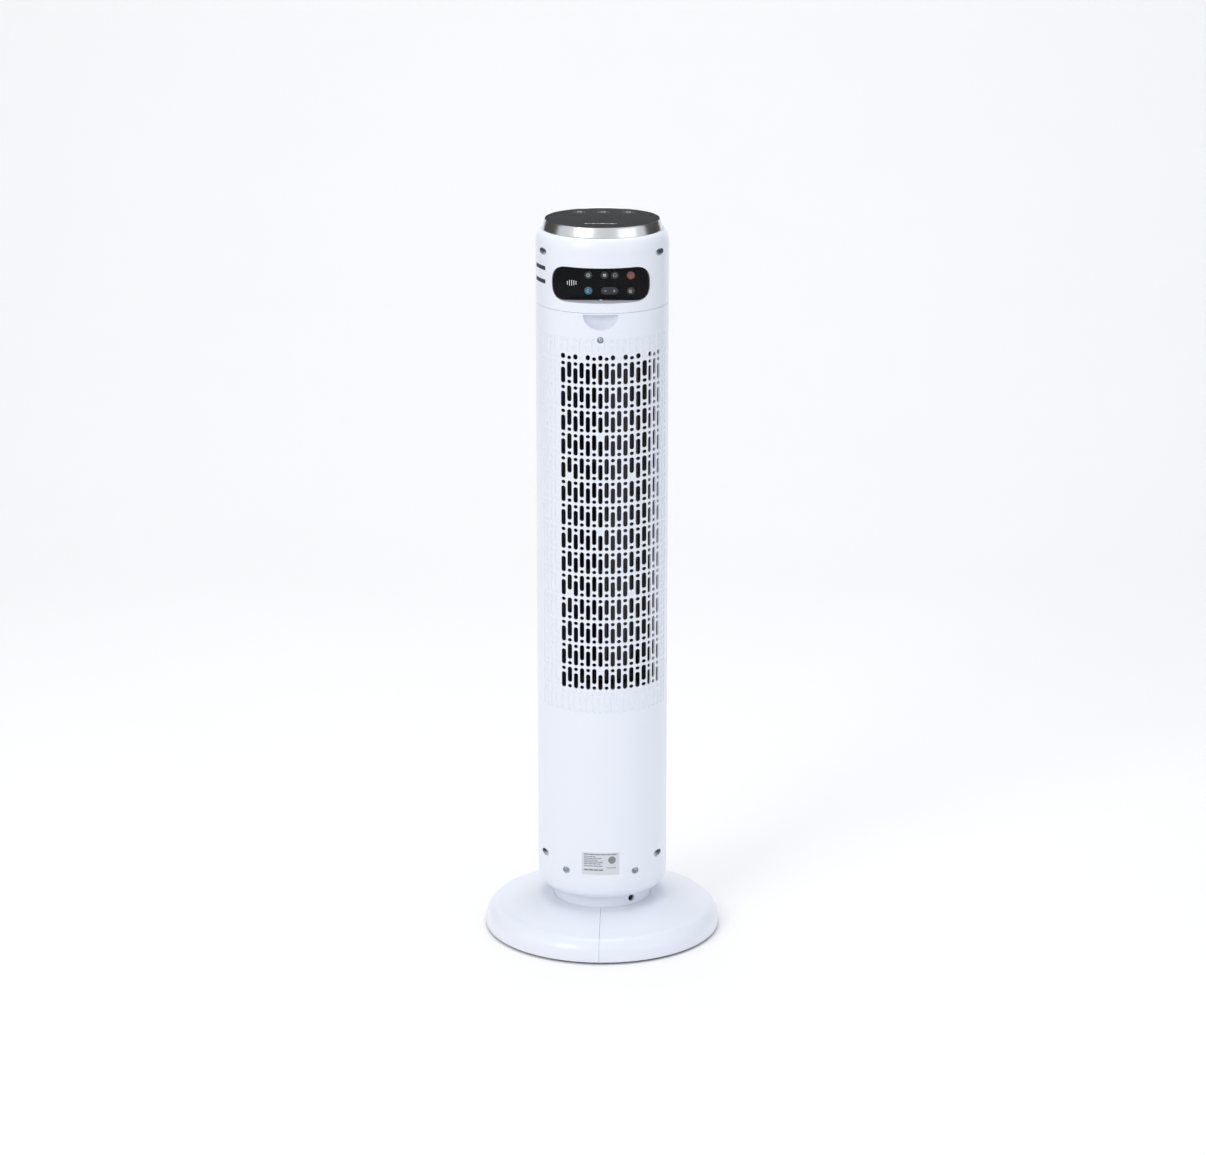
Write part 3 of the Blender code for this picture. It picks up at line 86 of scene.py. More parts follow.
TOWER_RADIUS = 0.0815
SHELL_WALL = 0.0025
HALF_SEAM = 0.0001  # each shell stops this far short of the seam between them
FOOT_LEVEL, FOOT_HEIGHT = 0.0755, 0.017  # below this level the tower rounds in
SHOULDER_LEVEL, SHOULDER_HEIGHT, SHOULDER_WIDTH = 0.884, 0.019, 0.008
HALF_TURN = TOWER_RADIUS * math.pi / 2 - HALF_SEAM  # half the width of a shell laid flat
LIP = 0.0004  # radius of the lip of a recess
CUP_WALL, CUP_FLOOR = 0.0014, 0.0032  # thickness of a recess that stands out at the back of its wall
BORE_SIDES = 28
SCREW_BORE = 0.0044
SIDE_SCREW, SIDE_SCREW_FLOOR = 0.07058, -0.0186  # X and Y, of the screws in the tower's sides
Flat = tuple[float, float]
Spot = tuple[float, float, float]
Colour = tuple[float, float, float]


# ---- Node trees -------------------------------------------------------------------------------------
class Term:
    """A number in a node tree, so that node maths reads as a Python expression."""

    def __init__(self, graph: "Graph", socket: bpy.types.NodeSocket) -> None:
        """Wraps an output socket of a graph."""
        self.graph = graph
        self.socket = socket

    def maths(self, operation: str, *values: "Term | float") -> "Term":
        """Adds one Math node.

        Args:
            operation: the node's operation.
            values: the node's inputs, in order.

        Returns:
            The node's result.
        """
        made = self.graph.node("ShaderNodeMath", {"operation": operation}, dict(enumerate(values)))
        return Term(self.graph, made.outputs[0])

    def __add__(self, other: "Term | float") -> "Term":
        """Returns self + other."""
        return self.maths("ADD", self, other)

    __radd__ = __add__

    def __sub__(self, other: "Term | float") -> "Term":
        """Returns self - other."""
        return self.maths("SUBTRACT", self, other)

    def __rsub__(self, other: "Term | float") -> "Term":
        """Returns other - self."""
        return self.maths("SUBTRACT", other, self)

    def __mul__(self, other: "Term | float") -> "Term":
        """Returns self * other."""
        return self.maths("MULTIPLY", self, other)

    __rmul__ = __mul__

    def __truediv__(self, other: "Term | float") -> "Term":
        """Returns self / other."""
        return self.maths("DIVIDE", self, other)

    def __rtruediv__(self, other: "Term | float") -> "Term":
        """Returns other / self."""
        return self.maths("DIVIDE", other, self)

    def __abs__(self) -> "Term":
        """Returns the size of self."""
        return self.maths("ABSOLUTE", self)

    def __gt__(self, other: "Term | float") -> "Term":
        """Returns 1 where self is more than other, and 0 elsewhere."""
        return self.maths("GREATER_THAN", self, other)

    def clamped(self) -> "Term":
        """Returns self held between 0 and 1."""
        return self.maths("MINIMUM", self.maths("MAXIMUM", self, 0.0), 1.0)

    def named(self, operation: str) -> "Term":
        """Returns a function of self alone, such as SINE or SQRT."""
        return self.maths(operation, self)


class Graph:
    """A node tree under construction. Every node comes from node()."""

    def __init__(self, tree: bpy.types.NodeTree) -> None:
        """Wraps a tree."""
        self.tree = tree

    @classmethod
    def group(cls, name: str, inputs: dict[str, str]) -> "Graph":
        """Starts a geometry node tree.

        Args:
            name: the tree's name.
            inputs: the kind of each of its inputs, by name.

        Returns:
            The graph. done() ends it.
        """
        tree = bpy.data.node_groups.new(name, "GeometryNodeTree")
        for label, kind in inputs.items():
            tree.interface.new_socket(name=label, in_out="INPUT", socket_type=f"NodeSocket{kind}")
        tree.interface.new_socket(name="Piece", in_out="OUTPUT", socket_type="NodeSocketGeometry")
        return cls(tree)

    def done(self, geometry: bpy.types.NodeSocket, finish: bpy.types.NodeSocket) -> bpy.types.NodeTree:
        """Ends a geometry node tree by making copies real and setting the finish, and returns it."""
        real = self.node("GeometryNodeRealizeInstances", values={0: geometry})
        values = {"Geometry": real.outputs[0], "Material": finish}
        dressed = self.node("GeometryNodeSetMaterial", values=values)
        self.node("NodeGroupOutput", values={0: dressed.outputs[0]})
        return self.tree

    def node(
        self, kind: str, settings: dict[str, Any] | None = None, values: dict[Any, Any] | None = None
    ) -> bpy.types.Node:
        """Adds a node.

        Args:
            kind: the node's type.
            settings: its properties, set first.
            values: by input name or number, a Term or socket to link, or a value to set.

        Returns:
            The node.
        """
        made = self.tree.nodes.new(kind)
        for name, value in (settings or {}).items():
            setattr(made, name, value)
        for name, value in (values or {}).items():
            source = value.socket if isinstance(value, Term) else value
            if isinstance(source, bpy.types.NodeSocket):
                self.tree.links.new(source, made.inputs[name])
            else:
                made.inputs[name].default_value = value
        return made

    def term(self, kind: str, settings: dict[str, Any], values: dict[Any, Any]) -> Term:
        """Adds a node and returns its first output as a Term."""
        return Term(self, self.node(kind, settings, values).outputs[0])

    def axes(self, vector: bpy.types.NodeSocket) -> tuple[Term, Term, Term]:
        """Returns the three parts of a vector."""
        split = self.node("ShaderNodeSeparateXYZ", values={0: vector})
        x, y, z = (Term(self, output) for output in split.outputs)
        return x, y, z

    def place(self) -> bpy.types.NodeSocket:
        """Returns a material's Object coordinates, which are metres in the fan's own frame."""
        return self.node("ShaderNodeTexCoord").outputs["Object"]

    def noise(self, scale: float, detail: float = 2.0, stretch: Spot = (1.0, 1.0, 1.0)) -> Term:
        """Returns smooth noise from 0 to 1.

        Args:
            scale: waves per metre.
            detail: octaves.
            stretch: a factor on the scale along each axis.
        """
        mapped = self.node("ShaderNodeMapping", values={"Vector": self.place(), "Scale": stretch})
        values = {"Vector": mapped.outputs[0], "Scale": scale, "Detail": detail}
        return self.term("ShaderNodeTexNoise", {}, values)

    def blend(self, factor: Term, low: Colour, high: Colour) -> bpy.types.NodeSocket:
        """Returns a colour from low to high as the factor goes from 0 to 1."""
        values = {0: factor.clamped(), 6: (*low, 1.0), 7: (*high, 1.0)}
        return self.node("ShaderNodeMix", {"data_type": "RGBA"}, values).outputs[2]

    def bump(self, height: Term, strength: float, distance: float) -> bpy.types.NodeSocket:
        """Returns a normal bent by a height."""
        values = {"Strength": strength, "Distance": distance, "Height": height}
        return self.node("ShaderNodeBump", values=values).outputs[0]


# ---- Finishes ---------------------------------------------------------------------------------------
def scaled(colour: Colour, share: float, more: float = 0.0) -> Colour:
    """Returns a colour times a share, plus a little of every part."""
    red, green, blue = (part * share + more for part in colour)
    return red, green, blue


@dataclass(frozen=True)
class Finish:
    """What a surface looks like: a colour, a gloss, and what varies over it."""

    name: str
    colour: Colour
    roughness: float
    metallic: float = 0.0
    coat: float = 0.0
    sheer: float = 0.5  # specular level

    def material(self) -> bpy.types.Material:
        """Makes the material once, and returns the same one afterwards."""
        made = bpy.data.materials.get(self.name)
        if made is not None:
            return made
        made = bpy.data.materials.new(self.name)
        made.use_nodes = True
        made.node_tree.nodes.clear()
        graph = Graph(made.node_tree)
        values: dict[Any, Any] = {
            "Base Color": (*self.colour, 1.0),
            "Roughness": self.roughness,
            "Metallic": self.metallic,
            "Coat Weight": self.coat,
            "Coat Roughness": 0.05,
            "Specular IOR Level": self.sheer,
        }
        values.update(self.varied(graph))
        shader = graph.node("ShaderNodeBsdfPrincipled", values=values)
        graph.node("ShaderNodeOutputMaterial", values={"Surface": shader.outputs[0]})
        return made

    def varied(self, graph: Graph) -> dict[str, Any]:
        """Returns the shader inputs that change over the surface."""
        cloud = graph.noise(40.0)
        return {
            "Base Color": graph.blend(cloud, scaled(self.colour, 0.93), self.colour),
            "Roughness": self.roughness + (cloud - 0.5) * 0.05,
        }


@dataclass(frozen=True)
class Moulded(Finish):
    """Injection-moulded plastic: a fine spark-eroded grain and slow flow marks."""

    grain: float = 0.10
    grain_scale: float = 1500.0
    flow: float = 0.03

    def varied(self, graph: Graph) -> dict[str, Any]:
        """Returns colour, gloss and grain."""
        flow = graph.noise(7.0, 3.0, (1.0, 1.0, 0.35))
        grain = graph.noise(self.grain_scale, 3.0)
        return {
            "Base Color": graph.blend(flow * 1.6 - 0.3, scaled(self.colour, 1 - self.flow), self.colour),
            "Roughness": self.roughness + (flow - 0.5) * 0.08 + (grain - 0.5) * 0.10,
            "Normal": graph.bump(grain, self.grain, 0.00006),
        }


@dataclass(frozen=True)
class Polished(Finish):
    """A glossy lacquer or glass: almost even, with faint wipe marks and a long ripple."""

    ripple: float = 0.02

    def varied(self, graph: Graph) -> dict[str, Any]:
        """Returns gloss and ripple."""
        wipe = graph.noise(60.0, 4.0, (1.0, 0.25, 1.0))
        ripple = graph.noise(28.0, 1.0)
        return {
            "Base Color": graph.blend(wipe, self.colour, scaled(self.colour, 1.25, 0.002)),
            "Roughness": self.roughness + (wipe - 0.4) * 0.06,
            "Normal": graph.bump(ripple, self.ripple, 0.0004),
        }


@dataclass(frozen=True)
class Turned(Finish):
    """Metal with fine marks running round the fan's axis, as plated or turned trim has."""

    marks: float = 0.06

    def varied(self, graph: Graph) -> dict[str, Any]:
        """Returns gloss and ring marks."""
        across, along, up = graph.axes(graph.place())
        radius = (across * across + along * along).named("SQRT")
        rings = ((radius - up) * 9000.0).named("SINE")
        tarnish = graph.noise(55.0, 3.0)
        return {
            "Base Color": graph.blend(tarnish, scaled(self.colour, 0.90), self.colour),
            "Roughness": self.roughness + (tarnish - 0.5) * 0.08,
            "Normal": graph.bump(rings, self.marks, 0.00002),
        }


@dataclass(frozen=True)
class Cast(Finish):
    """Sheet or cast metal and sintered parts: a pitted surface with patchy gloss."""

    pits: float = 0.25

    def varied(self, graph: Graph) -> dict[str, Any]:
        """Returns colour, gloss and pits."""
        patch, pits = graph.noise(90.0, 4.0), graph.noise(1100.0, 2.0)
        return {
            "Base Color": graph.blend(patch, scaled(self.colour, 0.72), self.colour),
            "Roughness": self.roughness + (patch - 0.5) * 0.25,
            "Normal": graph.bump(pits, self.pits, 0.0001),
        }


@dataclass(frozen=True)
class Boarded(Finish):
    """A circuit board: lacquered laminate with paler copper runs under the lacquer."""

    copper: Colour = (0.10, 0.30, 0.10)

    def varied(self, graph: Graph) -> dict[str, Any]:
        """Returns the runs, their gloss and their height."""
        settings, values = {"feature": "DISTANCE_TO_EDGE"}, {"Vector": graph.place(), "Scale": 260.0}
        cells = graph.term("ShaderNodeTexVoronoi", settings, values)
        runs = 1 - (cells > 0.08)
        return {
            "Base Color": graph.blend(runs, self.colour, self.copper),
            "Roughness": self.roughness - runs * 0.1,
            "Normal": graph.bump(runs, 0.2, 0.0001),
        }


@dataclass(frozen=True)
class Foil(Finish):
    """A printed foil sticker: a brushed silver face, slightly crinkled."""

    def varied(self, graph: Graph) -> dict[str, Any]:
        """Returns the brushed gloss and the crinkle."""
        brush = graph.noise(300.0, 2.0, (0.2, 0.2, 6.0))
        crinkle = graph.noise(120.0, 2.0)
        return {
            "Base Color": graph.blend(brush, scaled(self.colour, 0.92), self.colour),
            "Roughness": self.roughness + (brush - 0.5) * 0.2,
            "Normal": graph.bump(crinkle, 0.12, 0.0001),
        }


@dataclass(frozen=True)
class Swept(Finish):
    """A studio sweep: painted board with a faint roller texture."""

    def varied(self, graph: Graph) -> dict[str, Any]:
        """Returns the paint's unevenness."""
        roller = graph.noise(3.0, 2.0)
        return {
            "Base Color": graph.blend(roller, scaled(self.colour, 0.985), self.colour),
            "Roughness": self.roughness + (roller - 0.5) * 0.05,
        }


WHITE = Moulded("moulded_white", (0.78, 0.81, 0.88), 0.30, flow=0.025)
# Painted shade: the backs of the white shells are near black to stand in for the shade inside the tower; the
# real mouldings are white inside.
PAINTED_SHADE_INSIDE = Moulded("shaded_inside", (0.014, 0.015, 0.017), 0.80)
TRIM = Turned("plated_trim", (0.86, 0.87, 0.88), 0.22, metallic=1.0)
GLASS = Polished("black_glass", (0.012, 0.012, 0.014), 0.22, sheer=0.06)
CASE_BLACK = Polished("gloss_black_case", (0.003, 0.003, 0.0033), 0.14, sheer=0.12)
SATIN_BLACK = Moulded("satin_black", (0.012, 0.012, 0.013), 0.60)
GREY = Moulded("grey_plastic", (0.11, 0.12, 0.13), 0.55)
# Grey plastic darkened to near black: painted shade, so that the wheel seen through the slots stands in for
# the shade inside the tower.
WHEEL_GREY_AND_SHADE = Moulded("wheel_grey", (0.035, 0.037, 0.042), 0.55)
KEY_DARK = Moulded("key_charcoal", (0.024, 0.024, 0.023), 0.45, grain=0.2, grain_scale=900.0)
KEY_BLUE = Moulded("key_blue", (0.020, 0.070, 0.125), 0.45, grain=0.2, grain_scale=900.0)
KEY_RED = Moulded("key_red", (0.072, 0.026, 0.015), 0.50, grain=0.2, grain_scale=900.0)
RUBBER = Moulded("foot_rubber", (0.025, 0.025, 0.026), 0.85, grain=0.4, grain_scale=700.0)
STEEL = Turned("zinc_steel", (0.55, 0.57, 0.60), 0.30, metallic=1.0, marks=0.15)
MOTOR = Cast("motor_case", (0.20, 0.21, 0.22), 0.45, metallic=0.8)
GEAR = Moulded("gear_acetal", (0.62, 0.60, 0.54), 0.40)
BOARD = Boarded("circuit_board", (0.012, 0.10, 0.035), 0.35)
BRONZE = Cast("sintered_bronze", (0.42, 0.26, 0.12), 0.40, metallic=0.9)
SILVER_LABEL = Foil("silver_label", (0.66, 0.68, 0.72), 0.32, metallic=0.25)
INK_GREY = Finish("ink_grey", (0.20, 0.22, 0.26), 0.55)
INK_DARK = Finish("ink_dark", (0.035, 0.037, 0.045), 0.50)
INK_WHITE = Finish("ink_white", (0.72, 0.74, 0.74), 0.45)
INK_PALE = Finish("ink_pale_blue", (0.40, 0.60, 0.72), 0.45)
CARD = Swept("studio_card", (0.045, 0.043, 0.034), 0.80)
FLOOR = Swept("studio_sweep", (0.93, 0.93, 0.93), 0.70)


# ---- Mesh tools -------------------------------------------------------------------------------------
def inside(points: np.ndarray, outline: Sequence[Flat]) -> np.ndarray:
    """Tells which flat points lie in an outline.

    Args:
        points: n x 2 numbers.
        outline: the corners of a closed outline.

    Returns:
        A truth value for each point.
    """
    corners = np.array(outline)
    ends = np.roll(corners, -1, axis=0)
    found = np.zeros(len(points), bool)
    for (ax, ay), (bx, by) in zip(corners, ends):
        if ay == by:
            continue
        crosses = (ay > points[:, 1]) != (by > points[:, 1])
        found ^= crosses & (points[:, 0] < (bx - ax) * (points[:, 1] - ay) / (by - ay) + ax)
    return found


def triangles(
    loops: Sequence[Sequence[Flat]], extra: Sequence[Flat], keep: Callable[[np.ndarray], np.ndarray]
) -> list[list[Flat]]:
    """Divides a flat region into triangles that use every given point.

    Args:
        loops: closed outlines that no triangle crosses.
        extra: loose points in the region.
        keep: tells which of n x 2 triangle centres belong to the region.

    Returns:
        Triangles, anticlockwise.
    """
    points: list[Flat] = []
    edges: list[tuple[int, int]] = []
    seen: dict[tuple[int, int], int] = {}

    def number(point: Flat) -> int:
        """Returns the point's place in the list, the same for points that coincide."""
        key = (round(point[0] * MATCHING), round(point[1] * MATCHING))
        if key not in seen:
            seen[key] = len(points)
            points.append(point)
        return seen[key]

    for loop in loops:
        numbers = [number(point) for point in loop]
        edges += [(a, b) for a, b in zip(numbers, numbers[1:] + numbers[:1]) if a != b]
    for point in extra:
        number(point)
    spots = [Vector((x * SOLVER_SCALE, y * SOLVER_SCALE)) for x, y in points]
    solved, _, corners, given, *_ = delaunay_2d_cdt(spots, edges, [], 0, SOLVER_REACH, True)
    placed = [
        points[origins[0]] if origins else tuple(spot / SOLVER_SCALE) for spot, origins in zip(solved, given)
    ]
    faces = [[placed[i] for i in face] for face in corners]
    centres = np.array([np.mean(face, axis=0) for face in faces])
    result = []
    for face, wanted in zip(faces, keep(centres)):
        if not wanted:
            continue
        (ax, ay), (bx, by), (cx, cy) = face
        turn = (bx - ax) * (cy - ay) - (by - ay) * (cx - ax)
        if abs(turn) > 1e-12:
            result.append(face if turn > 0 else face[::-1])
    return result


class Soup:
    """Faces gathered one by one, which are merged into a mesh at the end."""

    def __init__(self) -> None:
        """Starts empty."""
        self.points: list[Spot] = []
        self.faces: list[list[int]] = []
        self.marks: list[int] = []

    def face(self, corners: Sequence[Spot], mark: int = 0) -> None:
        """Adds a face, its corners anticlockwise from outside, with the number of its finish."""
        first = len(self.points)
        self.points += [tuple(corner) for corner in corners]
        self.faces.append(list(range(first, first + len(corners))))
        self.marks.append(mark)

    def strip(self, near: Sequence[Spot], far: Sequence[Spot], mark: int = 0, closed: bool = True) -> None:
        """Joins two rows of points with quads, facing as near then far are wound."""
        count = len(near)
        for i in range(count if closed else count - 1):
            j = (i + 1) % count
            self.face([near[i], near[j], far[j], far[i]], mark)

    def loft(self, rings: Sequence[Sequence[Spot]], caps: bool = True, mark: int = 0) -> None:
        """Joins rings of equal length, with a face over each end if caps is true."""
        for near, far in zip(rings, rings[1:]):
            self.strip(near, far, mark)
        if caps:
            self.face(list(rings[0])[::-1], mark)
            self.face(rings[-1], mark)

    def box(self, low: Spot, high: Spot, mark: int = 0) -> None:
        """Adds a rectangular block."""
        (x0, y0, z0), (x1, y1, z1) = low, high
        rings = [[(x0, y0, z), (x1, y0, z), (x1, y1, z), (x0, y1, z)] for z in (z0, z1)]
        self.loft(rings, mark=mark)

    def mesh(self, name: str, right_way: bool = True) -> bpy.types.Mesh:
        """Merges the faces.

        Args:
            name: the mesh's name.
            right_way: true to turn all faces outwards, for a closed shape.

        Returns:
            The mesh, with the marks as an attribute.
        """
        mesh = bpy.data.meshes.new(name)
        mesh.from_pydata(self.points, [], self.faces)
        marks = mesh.attributes.new("mark", "INT", "FACE")
        marks.data.foreach_set("value", self.marks)
        return merged(mesh, right_way, collapse=True)


def merged(mesh: bpy.types.Mesh, right_way: bool = True, collapse: bool = False) -> bpy.types.Mesh:
    """Makes points that coincide one.

    Args:
        mesh: is changed.
        right_way: true to turn all faces outwards, for a closed shape.
        collapse: true to take out edges and faces of no size.

    Returns:
        The same mesh.
    """
    work = bmesh.new()
    work.from_mesh(mesh)
    bmesh.ops.remove_doubles(work, verts=work.verts, dist=MERGE)
    if collapse:
        bmesh.ops.dissolve_degenerate(work, edges=work.edges, dist=COLLAPSE)
    if right_way:
        bmesh.ops.recalc_face_normals(work, faces=work.faces)
    work.to_mesh(mesh)
    work.free()
    return mesh


def turns_of(count: int) -> list[float]:
    """Returns so many even steps round a circle, in radians."""
    return [2 * math.pi * i / count for i in range(count)]


def lathe(soup: Soup, outline: Sequence[Flat], sides: int, mark: int = 0) -> None:
    """Adds a turned solid about Z.

    Args:
        soup: takes the faces.
        outline: closed (radius, height) corners, anticlockwise.
        sides: of the circle.
        mark: the number of the finish.
    """
    turns = turns_of(sides)
    rings = [[(r * math.cos(a), r * math.sin(a), z) for a in turns] for r, z in outline]
    for near, far, low, high in zip(rings, rings[1:] + rings[:1], outline, outline[1:] + outline[:1]):
        low_pole, high_pole = low[0] < COLLAPSE, high[0] < COLLAPSE
        if low_pole and high_pole:
            continue
        for i in range(sides):
            j = (i + 1) % sides
            corners = [near[i], near[j], far[j], far[i]]
            if low_pole:
                corners = [near[i], far[j], far[i]]
            elif high_pole:
                corners = [near[i], near[j], far[i]]
            soup.face(corners, mark)


def curved_patch(soup: Soup, radii: Flat, turns: Flat, heights: Flat, steps: int, mark: int = 0) -> None:
    """Adds a thin patch that lies round the tower.

    Args:
        soup: takes the faces.
        radii: of its underside and of its face.
        turns: where it starts and ends, in radians from the rear.
        heights: of its lower and its upper edge.
        steps: along the curve.
        mark: the number of the finish.
    """
    (under, out), (first, last), (low, high) = radii, turns, heights
    corners = ((under, low), (out, low), (out, high), (under, high))
    rings = []
    for i in range(steps + 1):
        turn = first + (last - first) * i / steps
        rings.append([(r * math.sin(turn), -r * math.cos(turn), z) for r, z in corners])
    soup.loft(rings, mark=mark)


def smooth_curve(points: Sequence[Flat], steps: int) -> list[Flat]:
    """Returns a smooth curve through flat points, with so many steps between each two."""
    spots = [Vector((*point, 0.0)) for point in points]
    ends = [spots[0] * 2 - spots[1], *spots, spots[-1] * 2 - spots[-2]]
    result: list[Flat] = []
    for before, start, end, after in zip(ends, ends[1:], ends[2:], ends[3:]):
        for step in range(steps):
            t = step / steps
            bend = 2 * start + (end - before) * t + (2 * before - 5 * start + 4 * end - after) * t * t
            bend += (3 * start - before - 3 * end + after) * t**3
            result.append((bend.x / 2, bend.y / 2))
    return [*result, points[-1]]


def smoothed(mesh: bpy.types.Mesh, angle: float = SHARP_ANGLE) -> bpy.types.Mesh:
    """Shades a mesh smooth, but for edges sharper than an angle, and returns it."""
    mesh.shade_smooth()
    mesh.set_sharp_from_angle(angle=angle)
    return mesh


def linked(name: str, data: bpy.types.ID) -> bpy.types.Object:
    """Returns a new object that is in the scene."""
    made = bpy.data.objects.new(name, data)
    bpy.context.scene.collection.objects.link(made)
    return made


def cut(mesh: bpy.types.Mesh, cutter: bpy.types.Mesh) -> bpy.types.Mesh:
    """Returns a mesh with another taken away from it."""
    whole, tool = linked("whole", mesh), linked("tool", cutter)
    modifier = whole.modifiers.new("cut", "BOOLEAN")
    modifier.operation, modifier.solver, modifier.object = "DIFFERENCE", "EXACT", tool
    graph = bpy.context.evaluated_depsgraph_get()
    made = bpy.data.meshes.new_from_object(whole.evaluated_get(graph))
    made.name = mesh.name
    bpy.data.objects.remove(whole)
    bpy.data.objects.remove(tool)
    return made


def piece(
    name: str,
    mesh: bpy.types.Mesh,
    body: str,
    slot: str,
    finishes: Sequence[Finish],
    stands_for: Iterable[str] = (),
    shade: bool = True,
) -> bpy.types.Object:
    """Puts a finished mesh in the scene as one piece of the fan.

    Args:
        name: the piece's name.
        mesh: its shape, in the fan's own frame.
        body: the moving body it goes with.
        slot: the record's material slot; not used.
        finishes: one for each number in the mesh's mark attribute.
        stands_for: the CAD nodes that it replaces.
        shade: false for flat faces.

    Returns:
        The object.
    """
    mesh.name = name
    mesh.materials.clear()
    for finish in finishes:
        mesh.materials.append(finish.material())
    marks = mesh.attributes.get("mark")
    if marks is not None and len(finishes) > 1:
        values = np.zeros(len(mesh.polygons), np.int32)
        marks.data.foreach_get("value", values)
        mesh.polygons.foreach_set("material_index", values)
    if marks is not None:
        mesh.attributes.remove(marks)
    if shade:
        smoothed(mesh)
    made = linked(name, mesh)
    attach(made, body)
    if stands_for:
        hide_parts(*stands_for)
    LOG.info("%s: %d faces on %s", name, len(mesh.polygons), body)
    return made


# ---- Pierced sheets ---------------------------------------------------------------------------------
class Tile(Enum):
    """The kinds of grille tile. Even columns carry their dot above the slot and odd ones below it."""

    EVEN = 0
    ODD = 1
    EVEN_BLIND = 2
    ODD_BLIND = 3
    EVEN_NO_DOT = 4
    ODD_NO_DOT = 5
    EVEN_TOP = 6
    ODD_TOP = 7


@dataclass
class Hole:
    """An opening or a recess in a sheet: rings of sheet points from the face inwards."""

    rings: list[list[Spot]]
    through: bool = False
    pole: bool = False  # the last ring is a single point
    cup: list[list[Spot]] = field(default_factory=list)  # the outside of one deeper than the wall


def capsule(width: float, length: float, centre: Flat, grow: float = 0.0, steps: int = 6) -> list[Flat]:
    """Returns an upright slot's outline, anticlockwise, or an oval's if it is no longer than wide."""
    radius = width / 2 + grow
    straight = max(length / 2 + grow - radius, 0.0)
    squash = min(1.0, (length / 2 + grow) / radius)
    points = []
    for lift, first in ((straight, 0.0), (-straight, math.pi)):
        for i in range(steps + (1 if straight else 0)):
            angle = first + math.pi * i / steps
            x = centre[0] + radius * math.cos(angle)
            points.append((x, centre[1] + lift + radius * squash * math.sin(angle)))
    return points


@dataclass
class Grille:
    """The pattern of slots and dots, in metres: sizes, rows and columns. Column 0 is in the middle."""

    pitch: float = 0.0076
    period: float = 0.02975
    top: float = 0.78285
    rows: int = 16
    first: int = -10
    last: int = 12
    slot_width: float = 0.0053
    slot_length: float = 0.0200
    dot_width: float = 0.0050
    dot_height: float = 0.0048
    lip: float = 0.00035
    recess: float = 0.0008
    wall: float = SHELL_WALL
    side_points: int = 4
    even_spots: Flat = (-0.0037, -0.0186)  # of a tile's dot and slot, from its top edge
    odd_spots: Flat = (-0.0260, -0.01115)
    top_open: Flat = (0.0068, -0.0246)  # length and place of the short slot in the top row
    top_blind: Flat = (0.0098, -0.0146)
    pierced: tuple[int, int] = (-6, 10)  # the first and last columns with open slots
    top_plugged: tuple[int, ...] = (-3, 3, 7)
    no_dot: frozenset[tuple[int, int]] = frozenset(
        {(0, 4), (0, 8), (0, 14), (5, 5), (5, 10), (-5, 5), (-5, 10)}
    )

    def border(self) -> list[Flat]:
        """Returns a tile's edge points, anticlockwise, about the middle of its top edge."""
        half, count = self.pitch / 2, self.side_points
        across = [-half + self.pitch * i / count for i in range(count)]
        down = [-self.period + self.period * i / count for i in range(count)]
        points = [(x, -self.period) for x in across] + [(half, z) for z in down]
        return points + [(-x, 0.0) for x in across] + [(-half, -self.period - z) for z in down]

    def opening(self, width: float, length: float, centre: Flat, through: bool) -> Hole:
        """Returns a slot or a dot, with its rounded lip."""
        outer, inner = capsule(width, length, centre, self.lip), capsule(width, length, centre)
        steps = ((outer, 0.0), (inner, self.lip), (inner, self.wall if through else self.recess))
        return Hole([[(x, depth, z) for x, z in ring] for ring, depth in steps], through)

    def holes(self, kind: Tile) -> list[Hole]:
        """Returns the holes of a kind of tile, about the middle of its top edge."""
        even = kind in (Tile.EVEN, Tile.EVEN_BLIND, Tile.EVEN_NO_DOT, Tile.EVEN_TOP)
        dot_z, slot_z = self.even_spots if even else self.odd_spots
        open_dot = kind in (Tile.EVEN, Tile.ODD, Tile.ODD_TOP)
        dot = self.opening(self.dot_width, self.dot_height, (0.0, dot_z), open_dot)
        if kind is Tile.EVEN_TOP:
            slots = ((*self.top_open, True), (*self.top_blind, False))
        else:
            open_slot = kind not in (Tile.EVEN_BLIND, Tile.ODD_BLIND, Tile.ODD_TOP)
            slots = ((self.slot_length, slot_z, open_slot),)
        return [dot] + [self.opening(self.slot_width, length, (0.0, z), good) for length, z, good in slots]

    def tile(self, kind: Tile) -> bpy.types.Mesh:
        """Builds one tile: its face, its back, and the walls of its holes."""
        soup = Soup()
        fill_sheet(soup, (self.border(), self.border()), self.holes(kind), self.wall)
        return soup.mesh(f"tile_{kind.value}", right_way=False)

    def cells(self) -> dict[tuple[int, int], Tile]:
        """Returns the kind of tile at each (column, row), leaving out the three round the top screw."""
        made = {}
        for row in range(self.rows):
            for column in range(self.first, self.last + 1):
                if row == 0 and abs(column) <= 1:
                    continue
                pierced = self.pierced[0] <= column <= self.pierced[1]
                if pierced and (column, row) in self.no_dot:
                    kinds = (Tile.EVEN_NO_DOT, Tile.ODD_NO_DOT)
                elif pierced and 0 < row < self.rows - 1:
                    kinds = (Tile.EVEN, Tile.ODD)
                elif pierced and row == 0 and column not in self.top_plugged:
                    kinds = (Tile.EVEN_TOP, Tile.ODD_TOP)
                else:
                    kinds = (Tile.EVEN_BLIND, Tile.ODD_BLIND)
                made[column, row] = kinds[column % 2]
        return made


def everywhere(spots: np.ndarray) -> np.ndarray:
    """Says yes to every point."""
    return np.ones(len(spots), bool)


